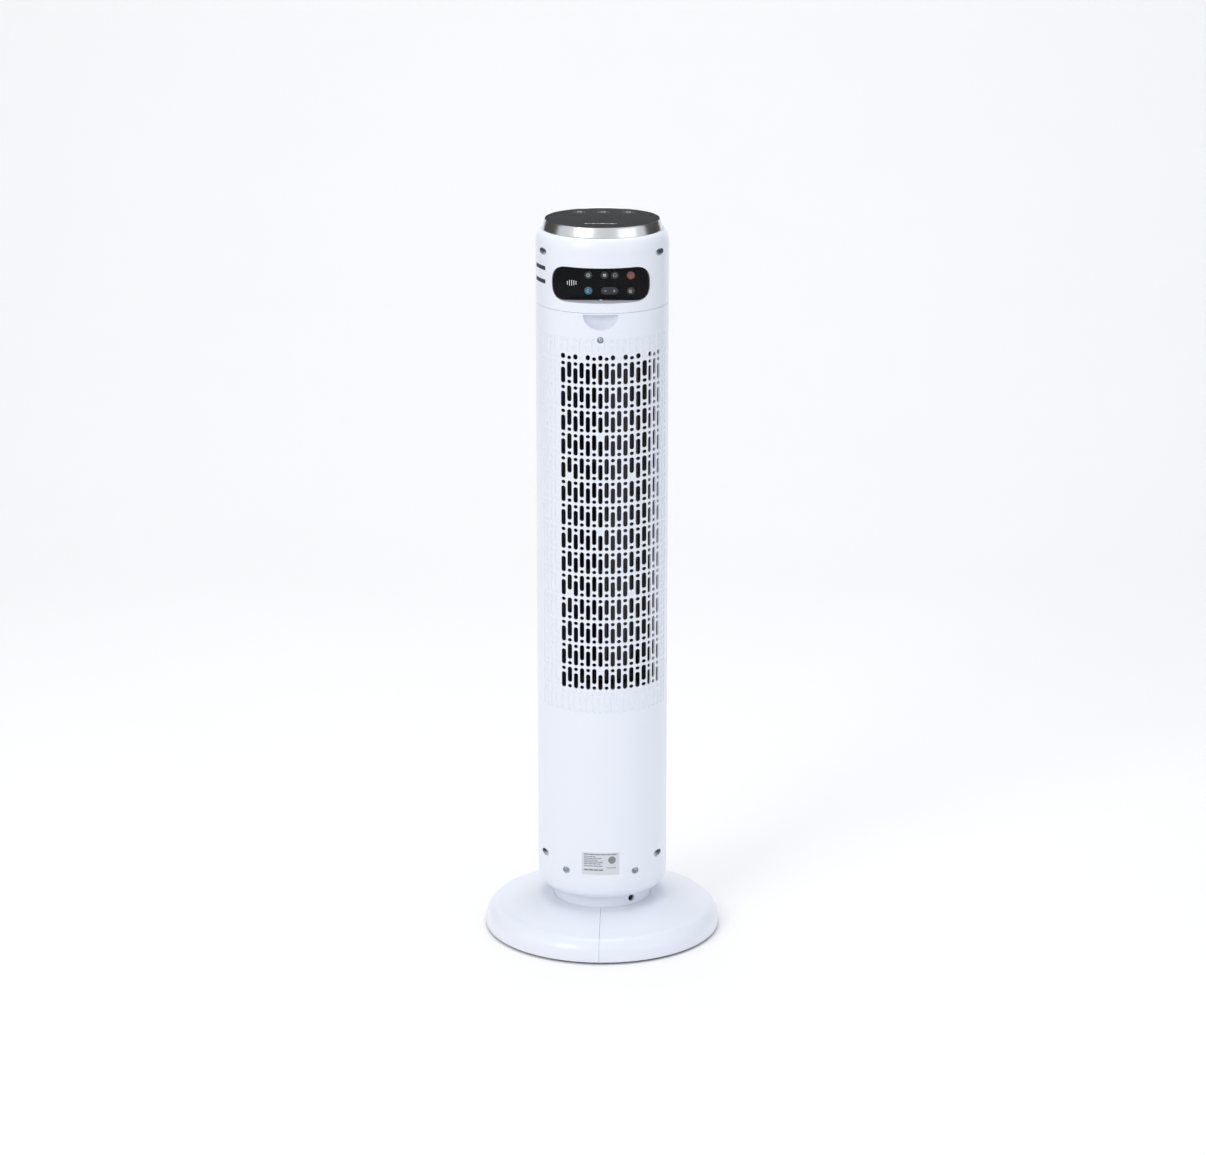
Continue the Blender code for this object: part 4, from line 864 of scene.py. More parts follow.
def fill_sheet(
    soup: Soup,
    edges: tuple[Sequence[Flat], Sequence[Flat]],
    holes: Sequence[Hole],
    wall: float,
    cells: Sequence[Sequence[Flat]] = (),
    extra: Sequence[Flat] = (),
    allowed: Callable = everywhere,
) -> None:
    """Adds a sheet's face, its back, and the walls and floors of its holes.

    Args:
        soup: takes the faces. Those of the back are marked 1; the shells give them the painted shade of the
            tower's inside.
        edges: the outlines of the face and of the back.
        holes: what is let into it.
        wall: thickness.
        cells: further outlines that no triangle crosses.
        extra: loose points for the face and the back.
        allowed: tells which of n x 2 points may be filled.
    """
    mouths = [[(x, z) for x, _, z in hole.rings[0]] for hole in holes]
    ends = [[(x, z) for x, _, z in hole.rings[-1]] for hole in holes if hole.through]
    ends += [[(x, z) for x, _, z in hole.cup[0]] for hole in holes if hole.cup]
    for outlines, edge, depth, mark in ((mouths, edges[0], 0.0, 0), (ends, edges[1], wall, 1)):

        def keep(spots: np.ndarray) -> np.ndarray:
            """Tells which points are on this side of the sheet."""
            kept = inside(spots, edge) & allowed(spots)
            for outline in outlines:
                kept &= ~inside(spots, outline)
            return kept

        fixed = np.array([spot for loop in [edge, *cells, *outlines] for spot in loop])
        loose = []
        if len(extra):
            for spot, good in zip(extra, keep(np.array(extra))):
                if good and np.abs(fixed - np.array(spot)).max(axis=1).min() > CLEAR_OF_EDGES:
                    loose.append(spot)
        for face in triangles([edge, *cells, *outlines], loose, keep):
            placed = [(x, depth, z) for x, z in face]
            soup.face(placed[::-1] if mark else placed, mark)
    for hole in holes:
        for near, far in zip(hole.rings, hole.rings[1:]):
            soup.strip(near, far)
        if not hole.through and not hole.pole:
            soup.face(hole.rings[-1])
        for near, far in zip(hole.cup, hole.cup[1:]):
            soup.strip(far, near, mark=1)
        if hole.cup:
            soup.face(hole.cup[-1][::-1], mark=1)


@dataclass
class Wrap:
    """How a sheet is laid round the tower: its radius, where it turns to face sideways, and its round ends.

    The fields are also the node tree's inputs, in this order.
    """

    radius: float = TOWER_RADIUS
    straight: float = 0.0  # across this much, depth runs along Y
    turn_start: float = -2.0
    turn_end: float = -1.0
    side_rate: float = 1 / TOWER_RADIUS  # radians for each metre across
    foot_height: float = FOOT_HEIGHT
    foot_level: float = FOOT_LEVEL
    shoulder_width: float = SHOULDER_WIDTH
    shoulder_height: float = SHOULDER_HEIGHT
    shoulder_level: float = 2.0  # above everything: no shoulder
    facing: float = 1.0  # 1 at the rear, -1 at the front

    def across(self, x: float, y: float) -> tuple[float, float]:
        """Returns (across, depth) of a point above the foot and below the shoulder.

        Args:
            x, y: its place, as seen from the side that the sheet faces.
        """
        if self.straight and abs(x) < self.straight:
            return x, y + math.sqrt(self.radius**2 - x * x)
        turn = math.atan2(abs(x), -y)
        start = math.asin(self.straight / self.radius)
        reach = self.straight + (turn - start) / self.side_rate
        return math.copysign(reach, x), self.radius - math.hypot(x, y)

    def sheet_spot(self, x: float, y: float, z: float) -> Spot:
        """Returns the sheet point of a place."""
        across, depth = self.across(x, y)
        return across, depth, z

    def surface(self, x: float, depth: float = 0.0) -> float:
        """Returns the Y of the sheet's face, or of a layer under it, at an X."""
        if self.straight and abs(x) < self.straight:
            return depth - math.sqrt(self.radius**2 - x * x)
        return -math.sqrt((self.radius - depth) ** 2 - x * x)

    def cup(self, outline: Sequence[Flat], floor: float, wall: float) -> list[list[Spot]]:
        """Returns the rings of the outside of a cup that runs along Y from a sheet's back."""
        first = [(self.across(x, self.surface(x, wall))[0], wall, z) for x, z in outline]
        return [first, [self.sheet_spot(x, floor, z) for x, z in outline]]

    def sunk(self, outline: Callable[[float], list[Flat]], floor: float) -> Hole:
        """Returns a recess whose walls run along Y from the surface to a floor.

        Args:
            outline: gives the (x, z) corners, moved out by its argument.
            floor: the floor's Y.
        """
        mouth = [(self.across(x, self.surface(x))[0], 0.0, z) for x, z in outline(LIP)]
        edge = [self.sheet_spot(x, self.surface(x) + LIP, z) for x, z in outline(0.0)]
        end = [self.sheet_spot(x, floor, z) for x, z in outline(0.0)]
        return Hole([mouth, edge, end], cup=self.cup(outline(CUP_WALL), floor + CUP_FLOOR, SHELL_WALL))

    def bore(self, x: float, z: float, radius: float, floor: float) -> Hole:
        """Returns a round counterbore that runs along Y from the surface to a floor."""
        return self.sunk(lambda grow: disc_of(x, z, radius + grow, BORE_SIDES), floor)

    def tree(self) -> bpy.types.NodeTree:
        """Builds the node tree that sets tiles into a sheet and lays it round the tower."""
        made = bpy.data.node_groups.get("lay_round_tower")
        if made is not None:
            return made
        kinds = {"Sheet": "Geometry", "Tiles": "Collection", "Sites": "Object", "Finish": "Material"}
        measures = [item.name.replace("_", " ").title() for item in fields(self)]
        graph = Graph.group("lay_round_tower", {**kinds, **dict.fromkeys(measures, "Float")})
        given = graph.node("NodeGroupInput").outputs
        radius, straight, start, end, rate, foot_h, foot_z, shoulder_w, shoulder_h, shoulder_z, facing = (
            Term(graph, given[name]) for name in measures
        )
        sites = graph.node("GeometryNodeObjectInfo", values={"Object": given["Sites"]})
        values = {"Collection": given["Tiles"], "Separate Children": True, "Reset Children": True}
        shapes = graph.node("GeometryNodeCollectionInfo", values=values)
        index = graph.node("GeometryNodeInputNamedAttribute", {"data_type": "INT"}, {"Name": "tile"})
        copies = graph.node(
            "GeometryNodeInstanceOnPoints",
            values={
                "Points": sites.outputs["Geometry"],
                "Instance": shapes.outputs[0],
                "Pick Instance": True,
                "Instance Index": index.outputs["Attribute"],
            },
        )
        tiles = graph.node("GeometryNodeRealizeInstances", values={0: copies.outputs[0]})
        whole = graph.node("GeometryNodeJoinGeometry", values={0: given["Sheet"]})
        graph.tree.links.new(tiles.outputs[0], whole.inputs[0])
        values = {"Geometry": whole.outputs[0], "Distance": MERGE}
        sewn = graph.node("GeometryNodeMergeByDistance", values=values)
        u, depth, v = graph.axes(graph.node("GeometryNodeInputPosition").outputs[0])
        reach = abs(u)
        near = reach.maths("MINIMUM", reach, straight)
        turn = (near / radius).named("ARCSINE") + (reach - near) * rate
        low = ((foot_z - v) / foot_h).clamped()
        high = ((v - shoulder_z) / shoulder_h).clamped()
        drop = foot_h * (1 - (1 - low * low).named("SQRT"))
        drop += shoulder_w * (1 - (1 - high * high).named("SQRT"))
        turned = ((reach - start) / (end - start)).clamped()
        out = radius - drop - turned * depth
        x = out * turn.named("SINE") * u.named("SIGN") * facing
        y = (depth * (1 - turned) - out * turn.named("COSINE")) * facing
        spot = graph.node("ShaderNodeCombineXYZ", values={0: x, 1: y, 2: v})
        values = {"Geometry": sewn.outputs[0], "Position": spot.outputs[0]}
        laid = graph.node("GeometryNodeSetPosition", values=values)
        return graph.done(laid.outputs[0], given["Finish"])

    def lay(self, name: str, sheet: bpy.types.Mesh, finish: Finish, grille: Grille | None) -> bpy.types.Mesh:
        """Lays a sheet round the tower.

        Args:
            name: of the new mesh.
            sheet: in sheet points.
            finish: of the outside.
            grille: the pattern let into it, if any.

        Returns:
            The mesh in its place, closed and facing outwards.
        """
        carrier = linked("sheet", sheet)
        kinds = bpy.data.collections.new("tiles")
        spots = bpy.data.meshes.new("sites")
        if grille is not None:
            for kind in Tile:
                kinds.objects.link(bpy.data.objects.new(f"tile_{kind.value}", grille.tile(kind)))
            cells = grille.cells()
            places = [(c * grille.pitch, 0.0, grille.top - r * grille.period) for c, r in cells]
            spots.from_pydata(places, [], [])
            marks = spots.attributes.new("tile", "INT", "POINT")
            marks.data.foreach_set("value", [kind.value for kind in cells.values()])
        sites = bpy.data.objects.new("sites", spots)
        made = evaluated(carrier, self.tree(), [kinds, sites, finish.material(), *astuple(self)])
        made.name = name
        for old in [sites, *kinds.objects]:
            bpy.data.objects.remove(old)
        bpy.data.collections.remove(kinds)
        return merged(made)


def evaluated(carrier: bpy.types.Object, tree: bpy.types.NodeTree, values: Sequence[Any]) -> bpy.types.Mesh:
    """Runs a node tree on an object and returns the plain mesh that it makes.

    Args:
        carrier: the object, which is used up.
        tree: the node tree.
        values: for the tree's inputs after the first, in order.
    """
    modifier = carrier.modifiers.new("nodes", "NODES")
    modifier.node_group = tree
    sockets = [item for item in tree.interface.items_tree if item.item_type == "SOCKET"]
    inputs = [item for item in sockets if item.in_out == "INPUT"]
    for item, value in zip(inputs[1:], values):
        modifier[item.identifier] = value
    graph = bpy.context.evaluated_depsgraph_get()
    made = bpy.data.meshes.new_from_object(carrier.evaluated_get(graph))
    carrier.modifiers.clear()
    bpy.data.objects.remove(carrier)
    return made


@dataclass
class Sheet:
    """A shell drawn flat: a rectangle with chamfered edges, its holes, and room for a grille."""

    wrap: Wrap
    half: float  # half its width across
    low: float
    high: float
    wall: float = SHELL_WALL
    chamfer: float = 0.0003
    step: float = 0.0038  # between the points across
    levels: tuple[float, ...] = ()  # the heights of the points between its ends
    holes: list[Hole] = field(default_factory=list)
    grille: Grille | None = None

    def columns(self) -> list[float]:
        """Returns the places of the points across."""
        count = round(2 * self.half / self.step)
        return [-self.half + 2 * self.half * i / count for i in range(count + 1)]

    def edge(self, inset: float) -> list[Flat]:
        """Returns the outline, anticlockwise, moved in by an inset, always with the same number of points."""
        left, right, low, high = -self.half + inset, self.half - inset, self.low + inset, self.high - inset
        across = [min(max(x, left), right) for x in self.columns()]
        rises = [min(max(z, low), high) for z in self.levels]
        points = [(x, low) for x in across] + [(right, z) for z in rises]
        return points + [(x, high) for x in across[::-1]] + [(left, z) for z in rises[::-1]]

    def cell_edges(self) -> tuple[list[list[Flat]], Callable]:
        """Returns the grille cells' outlines, and a test for points that are in none of them."""
        if self.grille is None:
            return [], everywhere
        grille = self.grille
        cells = grille.cells()
        loops = []
        border = grille.border()
        for column, row in cells:
            around = [(column + i, row + j) for i, j in ((-1, 0), (1, 0), (0, -1), (0, 1))]
            if any(cell not in cells for cell in around):
                centre = (column * grille.pitch, grille.top - row * grille.period)
                loops.append([(centre[0] + x, centre[1] + z) for x, z in border])

        def outside(spots: np.ndarray) -> np.ndarray:
            """Tells which points lie in no cell."""
            columns = np.round(spots[:, 0] / grille.pitch).astype(int)
            rows = np.floor((grille.top - spots[:, 1]) / grille.period).astype(int)
            return np.array([(c, r) not in cells for c, r in zip(columns, rows)], bool)

        return loops, outside

    def mesh(self, name: str) -> bpy.types.Mesh:
        """Builds the flat mesh, without the grille's tiles."""
        soup = Soup()
        face_edge, full_edge = self.edge(self.chamfer), self.edge(0.0)
        cells, outside = self.cell_edges()
        extra = [(x, z) for x in self.columns()[1:-1] for z in self.levels]
        fill_sheet(soup, (face_edge, full_edge), self.holes, self.wall, cells, extra, outside)
        rings = ((face_edge, 0.0), (full_edge, self.chamfer), (full_edge, self.wall))
        for (near, near_depth), (far, far_depth) in zip(rings, rings[1:]):
            soup.strip([(x, far_depth, z) for x, z in far], [(x, near_depth, z) for x, z in near])
        return soup.mesh(name, right_way=False)

    def laid(self, name: str, finish: Finish) -> bpy.types.Mesh:
        """Builds the sheet and lays it round the tower."""
        return self.wrap.lay(name, self.mesh(name), finish, self.grille)


# ---- The tower's shells -----------------------------------------------------------------------------
def levels(low: float, high: float, count: int) -> list[float]:
    """Returns so many heights between two, leaving out the ends."""
    return [low + (high - low) * i / (count + 1) for i in range(1, count + 1)]


@dataclass
class TowerShells:
    """The rear shell with its grille, scoop and screw holes, the front shell, and the outlet grille."""

    low: float = 0.0585
    seam: float = 0.8127
    foot_steps: int = 8
    rear_straight: float = 0.057
    rear_turn: Flat = (0.0557, 0.0583)
    pitch_turn: float = math.radians(5.85)  # how far one pitch of the grille goes round
    top_bore: tuple[float, float, float] = (0.780, 0.0040, -0.0773)  # height, radius, floor
    low_screws: tuple[float, float, float] = (0.04319, 0.0958, -0.0624)  # X, height, floor
    side_screws: float = 0.1094
    top_slots: tuple[Flat, Flat] = ((0.0068, 0.75825), (0.0086, 0.7681))  # under the top screw
    window_half: float = 0.052
    window: Flat = (0.3384, 0.76167)
    window_steps: int = 24
    scoop_half: float = 0.022
    scoop_depth: float = 0.0175
    scoop_height: float = 0.019
    scoop_stand_off: float = 0.0013
    scoop_ceiling: float = 0.0015
    scoop_steps: int = 32
    scoop_shares: tuple[float, ...] = (1.0, 0.97, 0.9, 0.8, 0.68, 0.55, 0.4, 0.25, 0.1, 0.0)

    def foot_levels(self) -> list[float]:
        """Returns the heights that make the rounded foot smooth."""
        turns = [math.radians(90 - 90 * i / self.foot_steps) for i in range(1, self.foot_steps)]
        return [FOOT_LEVEL - FOOT_HEIGHT * math.sin(turn) for turn in turns]

    def scoop(self, wrap: Wrap) -> Hole:
        """Returns the finger scoop under the head: a quarter bowl with a flat ceiling."""
        centre_y, ceiling = -TOWER_RADIUS - self.scoop_stand_off, self.seam - self.scoop_ceiling

        def bowl(x: float, z: float) -> float:
            """Returns the bowl's Y."""
            rest = 1 - (x / self.scoop_half) ** 2 - ((z - ceiling) / self.scoop_height) ** 2
            return centre_y + self.scoop_depth * math.sqrt(max(rest, 0.0))

        def spoke(angle: float, share: float) -> Flat:
            """Returns a share of the way from the middle of the ceiling to the bowl's edge."""
            drop = self.scoop_height * share * math.sin(angle)
            return self.scoop_half * share * math.cos(angle), ceiling + drop

        rim: list[Flat] = []
        for i in range(self.scoop_steps + 1):
            angle = math.pi * (1 + i / self.scoop_steps)
            low, high = 0.0, 1.0
            for _ in range(40):  # halves the gap down to the crossing of bowl and tower
                mid = (low + high) / 2
                x, z = spoke(angle, mid)
                low, high = (mid, high) if bowl(x, z) > wrap.surface(x) else (low, mid)
            rim.append(spoke(angle, low))
        half_steps = self.scoop_steps // 2
        run = rim[0][0] - rim[-1][0]
        top = [(rim[-1][0] + run * i / half_steps, ceiling) for i in range(1, half_steps)]
        rings = []
        for share in self.scoop_shares:
            edge = bowl(rim[0][0] * share, ceiling)
            ring = []
            for x, z in rim:
                spot_z = ceiling + (z - ceiling) * share
                ring.append(wrap.sheet_spot(x * share, bowl(x * share, spot_z), spot_z))
            for x, z in top:
                rise = (wrap.surface(x) - wrap.surface(rim[0][0])) * share**2
                ring.append(wrap.sheet_spot(x * share, edge + rise, ceiling))
            rings.append(ring)
        rings[0] = [(u, 0.0, v) for u, _, v in rings[0]]
        drop = ceiling - min(z for _, z in rim)
        grown = [(x * 1.08, z + 0.0009 - 0.0025 * (ceiling - z) / drop) for x, z in [*rim, *top]]
        return Hole(rings, pole=True, cup=wrap.cup(grown, centre_y + self.scoop_depth + 0.002, SHELL_WALL))

    def rear(self) -> bpy.types.Mesh:
        """Builds the rear shell."""
        grille = Grille()
        side_rate = self.pitch_turn / grille.pitch
        wrap = Wrap(TOWER_RADIUS, self.rear_straight, *self.rear_turn, side_rate)
        half = wrap.across(TOWER_RADIUS, -1e-9)[0] - HALF_SEAM
        height, radius, floor = self.top_bore
        holes = [wrap.bore(0.0, height, radius, floor)]
        for (length, middle), through in zip(self.top_slots, (True, False)):
            holes.append(grille.opening(grille.slot_width, length, (0.0, middle), through))
        for x in (-grille.pitch, grille.pitch):
            dot, slot = (grille.top + spot for spot in grille.odd_spots)
            holes.append(grille.opening(grille.dot_width, grille.dot_height, (x, dot), True))
            holes.append(grille.opening(grille.slot_width, grille.slot_length, (x, slot), False))
        across, height, floor = self.low_screws
        for side in (-1, 1):
            holes.append(wrap.bore(side * SIDE_SCREW, self.side_screws, SCREW_BORE, SIDE_SCREW_FLOOR))
            holes.append(wrap.bore(side * across, height, SCREW_BORE, floor))
        holes.append(self.scoop(wrap))
        rises = self.foot_levels() + levels(0.0765, 0.3065, 22)
        rises += levels(0.3065, 0.7829, 60) + levels(0.7829, self.seam, 4)
        heights = tuple(sorted(rises))
        sheet = Sheet(wrap, half, self.low, self.seam, levels=heights, holes=holes, grille=grille)
        return sheet.laid("rear_shell_moulding", WHITE)

    def front(self) -> bpy.types.Mesh:
        """Builds the front shell, with the window for the outlet grille."""
        edge = TOWER_RADIUS * math.asin(self.window_half / TOWER_RADIUS)
        low, high = self.window
        across = [-edge + 2 * edge * i / self.window_steps for i in range(self.window_steps + 1)]
        rises = levels(low, high, self.window_steps)
        rings = []
        for grow, depth in ((LIP, 0.0), (0.0, LIP), (0.0, SHELL_WALL)):
            stretch = (edge + grow) / edge
            ring = [(x * stretch, depth, low - grow) for x in across]
            ring += [(edge + grow, depth, z) for z in rises]
            ring += [(x * stretch, depth, high + grow) for x in across[::-1]]
            rings.append(ring + [(-edge - grow, depth, z) for z in rises[::-1]])
        heights = tuple(sorted([*self.foot_levels(), *levels(0.0765, self.seam, 48)]))
        window = Hole(rings, through=True)
        sheet = Sheet(Wrap(facing=-1.0), HALF_TURN, self.low, self.seam, levels=heights, holes=[window])
        return sheet.laid("front_shell_moulding", WHITE)

    def outlet(self) -> bpy.types.Mesh:
        """Builds the outlet grille: four bays of upright slots."""
        wrap = Wrap(straight=0.056, turn_start=1.0, turn_end=2.0, facing=-1.0)
        low, high, bays, columns, pitch, slot, rib = 0.3389, 0.7612, 4, 5, 0.0095, 0.0055, 0.004
        half, wall, step, rises = 0.0515, 0.0034, 0.0019, tuple(levels(low, high, 30))
        tall = (high - low) / bays
        grille = Grille(wall=wall)
        holes = []
        for bay in range(bays):
            for column in range(-columns, columns + 1):
                centre = (column * pitch, low + (bay + 0.5) * tall)
                holes.append(grille.opening(slot, tall - rib, centre, True))
        sheet = Sheet(wrap, half, low, high, wall=wall, step=step, levels=rises, holes=holes)
        return sheet.laid("outlet_grille_moulding", WHITE)

    def build(self) -> None:
        """Builds the three mouldings."""
        shells = {"rear_shell": self.rear, "front_shell": self.front, "outlet_grille": self.outlet}
        for node, build in shells.items():
            # The second finish paints the shade inside the tower onto each shell's back and the outsides of
            # its cups.
            piece(f"{node}_moulding", build(), "tower", "white_shell", [WHITE, PAINTED_SHADE_INSIDE], [node])


# ---- Head, dock and remote --------------------------------------------------------------------------
@dataclass(frozen=True)
class RemoteShape:
    """The remote's outline: a rounded oblong whose ends are full curves. Metres."""

    half_length: float = 0.058
    half_height: float = 0.0205
    end_reach: float = 0.019
    middle: float = 0.8465
    power: float = 2.7
    run_steps: int = 20

    def outline(self, grow: float = 0.0, steps: int = 14) -> list[Flat]:
        """Returns the outline seen from the rear, anticlockwise, moved out by grow."""
        straight, height = self.half_length - self.end_reach, self.half_height + grow
        points: list[Flat] = []
        for side in (1, -1):
            for i in range(2 * steps + 1):
                angle = side * math.pi * (i / (2 * steps) - 0.5)
                across, up = math.cos(angle), math.sin(angle)
                x = abs(across) ** (2 / self.power) * (self.end_reach + grow)
                z = math.copysign(abs(up) ** (2 / self.power), up) * height
                points.append((side * (x + straight), self.middle + z))
            run = [straight * (1 - 2 * i / self.run_steps) for i in range(1, self.run_steps)]
            points += [(side * x, self.middle + side * height) for x in run]
        return points


def disc_of(x: float, z: float, radius: float, sides: int, half_straight: float = 0.0) -> list[Flat]:
    """Returns a circle's outline about (x, z), or a capsule's lying along X."""
    points = []
    for i in range(sides):
        angle = 2 * math.pi * (i + 0.5) / sides - math.pi / 2
        shift = math.copysign(half_straight, math.cos(angle))
        points.append((x + shift + radius * math.cos(angle), z + radius * math.sin(angle)))
    return points


def plate(soup: Soup, outline: Sequence[Flat], front: float, back: float, mark: int = 0) -> None:
    """Adds a flat plate whose outline lies in XZ, from y = front to y = back."""
    soup.loft([[(x, front, z) for x, z in outline], [(x, back, z) for x, z in outline]], mark=mark)


def arc_band(x: float, z: float, radius: float, width: float, turns: Flat, steps: int = 16) -> list[Flat]:
    """Returns the outline of a curved stroke about (x, z), from one angle in degrees to another."""
    first, last = turns
    angles = [math.radians(first + (last - first) * i / steps) for i in range(steps + 1)]
    sides = []
    for reach in (radius + width / 2, radius - width / 2):
        sides.append([(x + reach * math.cos(a), z + reach * math.sin(a)) for a in angles])
    return sides[0] + sides[1][::-1]


def bar(x0: float, z0: float, x1: float, z1: float, width: float) -> list[Flat]:
    """Returns the outline of a straight stroke between two points."""
    length = math.hypot(x1 - x0, z1 - z0)
    dx, dz = (x1 - x0) / length * width / 2, (z1 - z0) / length * width / 2
    return [(x0 + dz, z0 - dx), (x1 + dz, z1 - dx), (x1 - dz, z1 + dx), (x0 - dz, z0 + dx)]


class Icon(Enum):
    """The signs on the keys."""

    NONE = "none"
    TIMER = "timer"
    MODE = "mode"
    SWING = "swing"
    NIGHT = "night"
    BREEZE = "breeze"
    SPEED = "speed"

    def strokes(self, x: float, z: float) -> list[list[Flat]]:
        """Returns the sign's strokes about (x, z)."""
        size, line, tile, apart, dot = 0.0019, 0.00042, 0.00062, 0.0009, 0.00036
        if self is Icon.TIMER:
            hands = [bar(x, z, x, z + 0.0012, line), bar(x, z, x + 0.0009, z, line)]
            return [arc_band(x, z, size, line, (0, 350), 24), *hands]
        if self is Icon.MODE:
            corners = ((-tile, -tile), (tile, -tile), (tile, tile), (-tile, tile))
            spots = [(x + i, z + j) for i in (-apart, apart) for j in (-apart, apart)]
            return [[(px + i, pz + j) for i, j in corners] for px, pz in spots]
        if self is Icon.SWING:
            spots = [(x + size * math.cos(a), z + size * math.sin(a)) for a in turns_of(8)]
            return [disc_of(px, pz, dot, 10) for px, pz in spots]
        if self is Icon.NIGHT:
            return [arc_band(x, z, 0.0016, 0.0006, (70, 290), 20)]
        if self is Icon.BREEZE:
            outer = arc_band(x - 0.0003, z, 0.0017, line, (100, 320), 20)
            return [outer, arc_band(x + 0.0003, z, 0.0007, line, (-60, 200), 14)]
        if self is Icon.SPEED:
            near, middle, far, rise = 0.0040, 0.0054, 0.0068, 0.0014
            minus, plus = bar(x - far, z, x - near, z, line), bar(x + near, z, x + far, z, line)
            return [minus, plus, bar(x + middle, z - rise, x + middle, z + rise, line)]
        return []


@dataclass(frozen=True)
class Key:
    """One key of the remote."""

    name: str
    x: float
    z: float
    finish: Finish
    slot: str
    icon: Icon
    radius: float = 0.005
    half_straight: float = 0.0
    bottom: float = -0.05686
    top: float = -0.06166
    edge: float = 0.0008  # radius of its soft edge
    crown: float = 0.0012  # how far in its flat top starts
    gap: float = 0.0004

    def outline(self, grow: float) -> list[Flat]:
        """Returns the key's outline, moved out by grow."""
        return disc_of(self.x, self.z, self.radius + grow, 36, self.half_straight)

    def build(self) -> None:
        """Builds the key: a soft-edged button with its sign printed on it."""
        soup = Soup()
        rings = []
        profile = [(0.0, self.bottom), (0.0, self.top + self.edge)]
        for a in np.linspace(0.25, 1.45, 5):
            profile.append((self.edge * (1 - math.cos(a)), self.top + self.edge * (1 - math.sin(a))))
        for inset, y in (*profile, (self.crown, self.top)):
            rings.append([(x, y, z) for x, z in self.outline(-0.0001 - inset)])
        soup.loft([ring[::-1] for ring in rings])
        for stroke in self.icon.strokes(self.x, self.z):
            plate(soup, stroke, self.top - 0.00004, self.top + 0.0001, mark=1)
        ink = INK_PALE if self.icon is Icon.NIGHT else INK_WHITE
        piece(f"{self.name}_cap", soup.mesh(self.name), self.name, self.slot, [self.finish, ink], [self.name])


KEYS = (
    Key("key_timer", -0.0150, 0.8561, KEY_DARK, "key_grey", Icon.TIMER),
    Key("key_mode", 0.0045, 0.8561, KEY_DARK, "key_grey", Icon.MODE),
    Key("key_swing", 0.0170, 0.8561, KEY_DARK, "key_grey", Icon.SWING),
    Key("key_power", 0.0362, 0.8561, KEY_RED, "key_red", Icon.NONE),
    Key("key_night", -0.0150, 0.8369, KEY_BLUE, "key_blue", Icon.NIGHT),
    Key("key_breeze", 0.0362, 0.8369, KEY_DARK, "key_grey", Icon.BREEZE),
    Key("key_speed", 0.01075, 0.8369, KEY_DARK, "key_grey", Icon.SPEED, half_straight=0.00575),
)


@dataclass
class Remote:
    """The remote control: a gloss black case open at its back, and its keys."""

    shape: RemoteShape = field(default_factory=RemoteShape)
    front: float = -0.06096
    back: float = -0.05466
    skin: float = 0.0014
    edge: float = 0.0011
    mark_middle: float = -0.0352
    mark_step: float = 0.0026
    mark_width: float = 0.0008
    mark_halves: tuple[float, ...] = (0.0022, 0.0034, 0.0034, 0.0030, 0.0022)

    def case(self) -> bpy.types.Mesh:
        """Builds the case, with its key wells cut and marks printed beside them."""
        soup = Soup()
        rings = []
        steps = []
        for a in np.linspace(math.pi / 2, 0.0, 6):
            steps.append((-self.edge * (1 - math.cos(a)), self.front + self.edge * (1 - math.sin(a))))
        steps += [(0.0, self.back), (-self.skin, self.back), (-self.skin, self.front + self.skin)]
        for grow, y in steps:
            rings.append([(x, y, z) for x, z in self.shape.outline(grow)])
        soup.loft(rings)
        wells = Soup()
        for key in KEYS:
            plate(wells, key.outline(key.gap), self.front - 0.002, self.front + self.skin + 0.0004)
        made = cut(soup.mesh("case"), wells.mesh("wells"))
        prints = Soup()
        for i, half in enumerate(self.mark_halves):
            x = self.mark_middle + self.mark_step * (i - 2)
            stroke = bar(x, self.shape.middle - half, x, self.shape.middle + half, self.mark_width)
            plate(prints, stroke, self.front - 0.00003, self.front + 0.0002, mark=1)
        return joined([made, prints.mesh("prints")])

    def build(self) -> None:
        """Builds the case and the keys."""
        finishes = [CASE_BLACK, INK_WHITE]
        piece("remote_case_shell", self.case(), "remote", "black_gloss", finishes, ["remote_case"])
        for key in KEYS:
            key.build()


def joined(meshes: Sequence[bpy.types.Mesh]) -> bpy.types.Mesh:
    """Returns one mesh that holds several, with their marks."""
    whole = bmesh.new()
    for mesh in meshes:
        if "mark" not in mesh.attributes:
            mesh.attributes.new("mark", "INT", "FACE")
        whole.from_mesh(mesh)
    made = bpy.data.meshes.new(meshes[0].name)
    whole.to_mesh(made)
    whole.free()
    return made


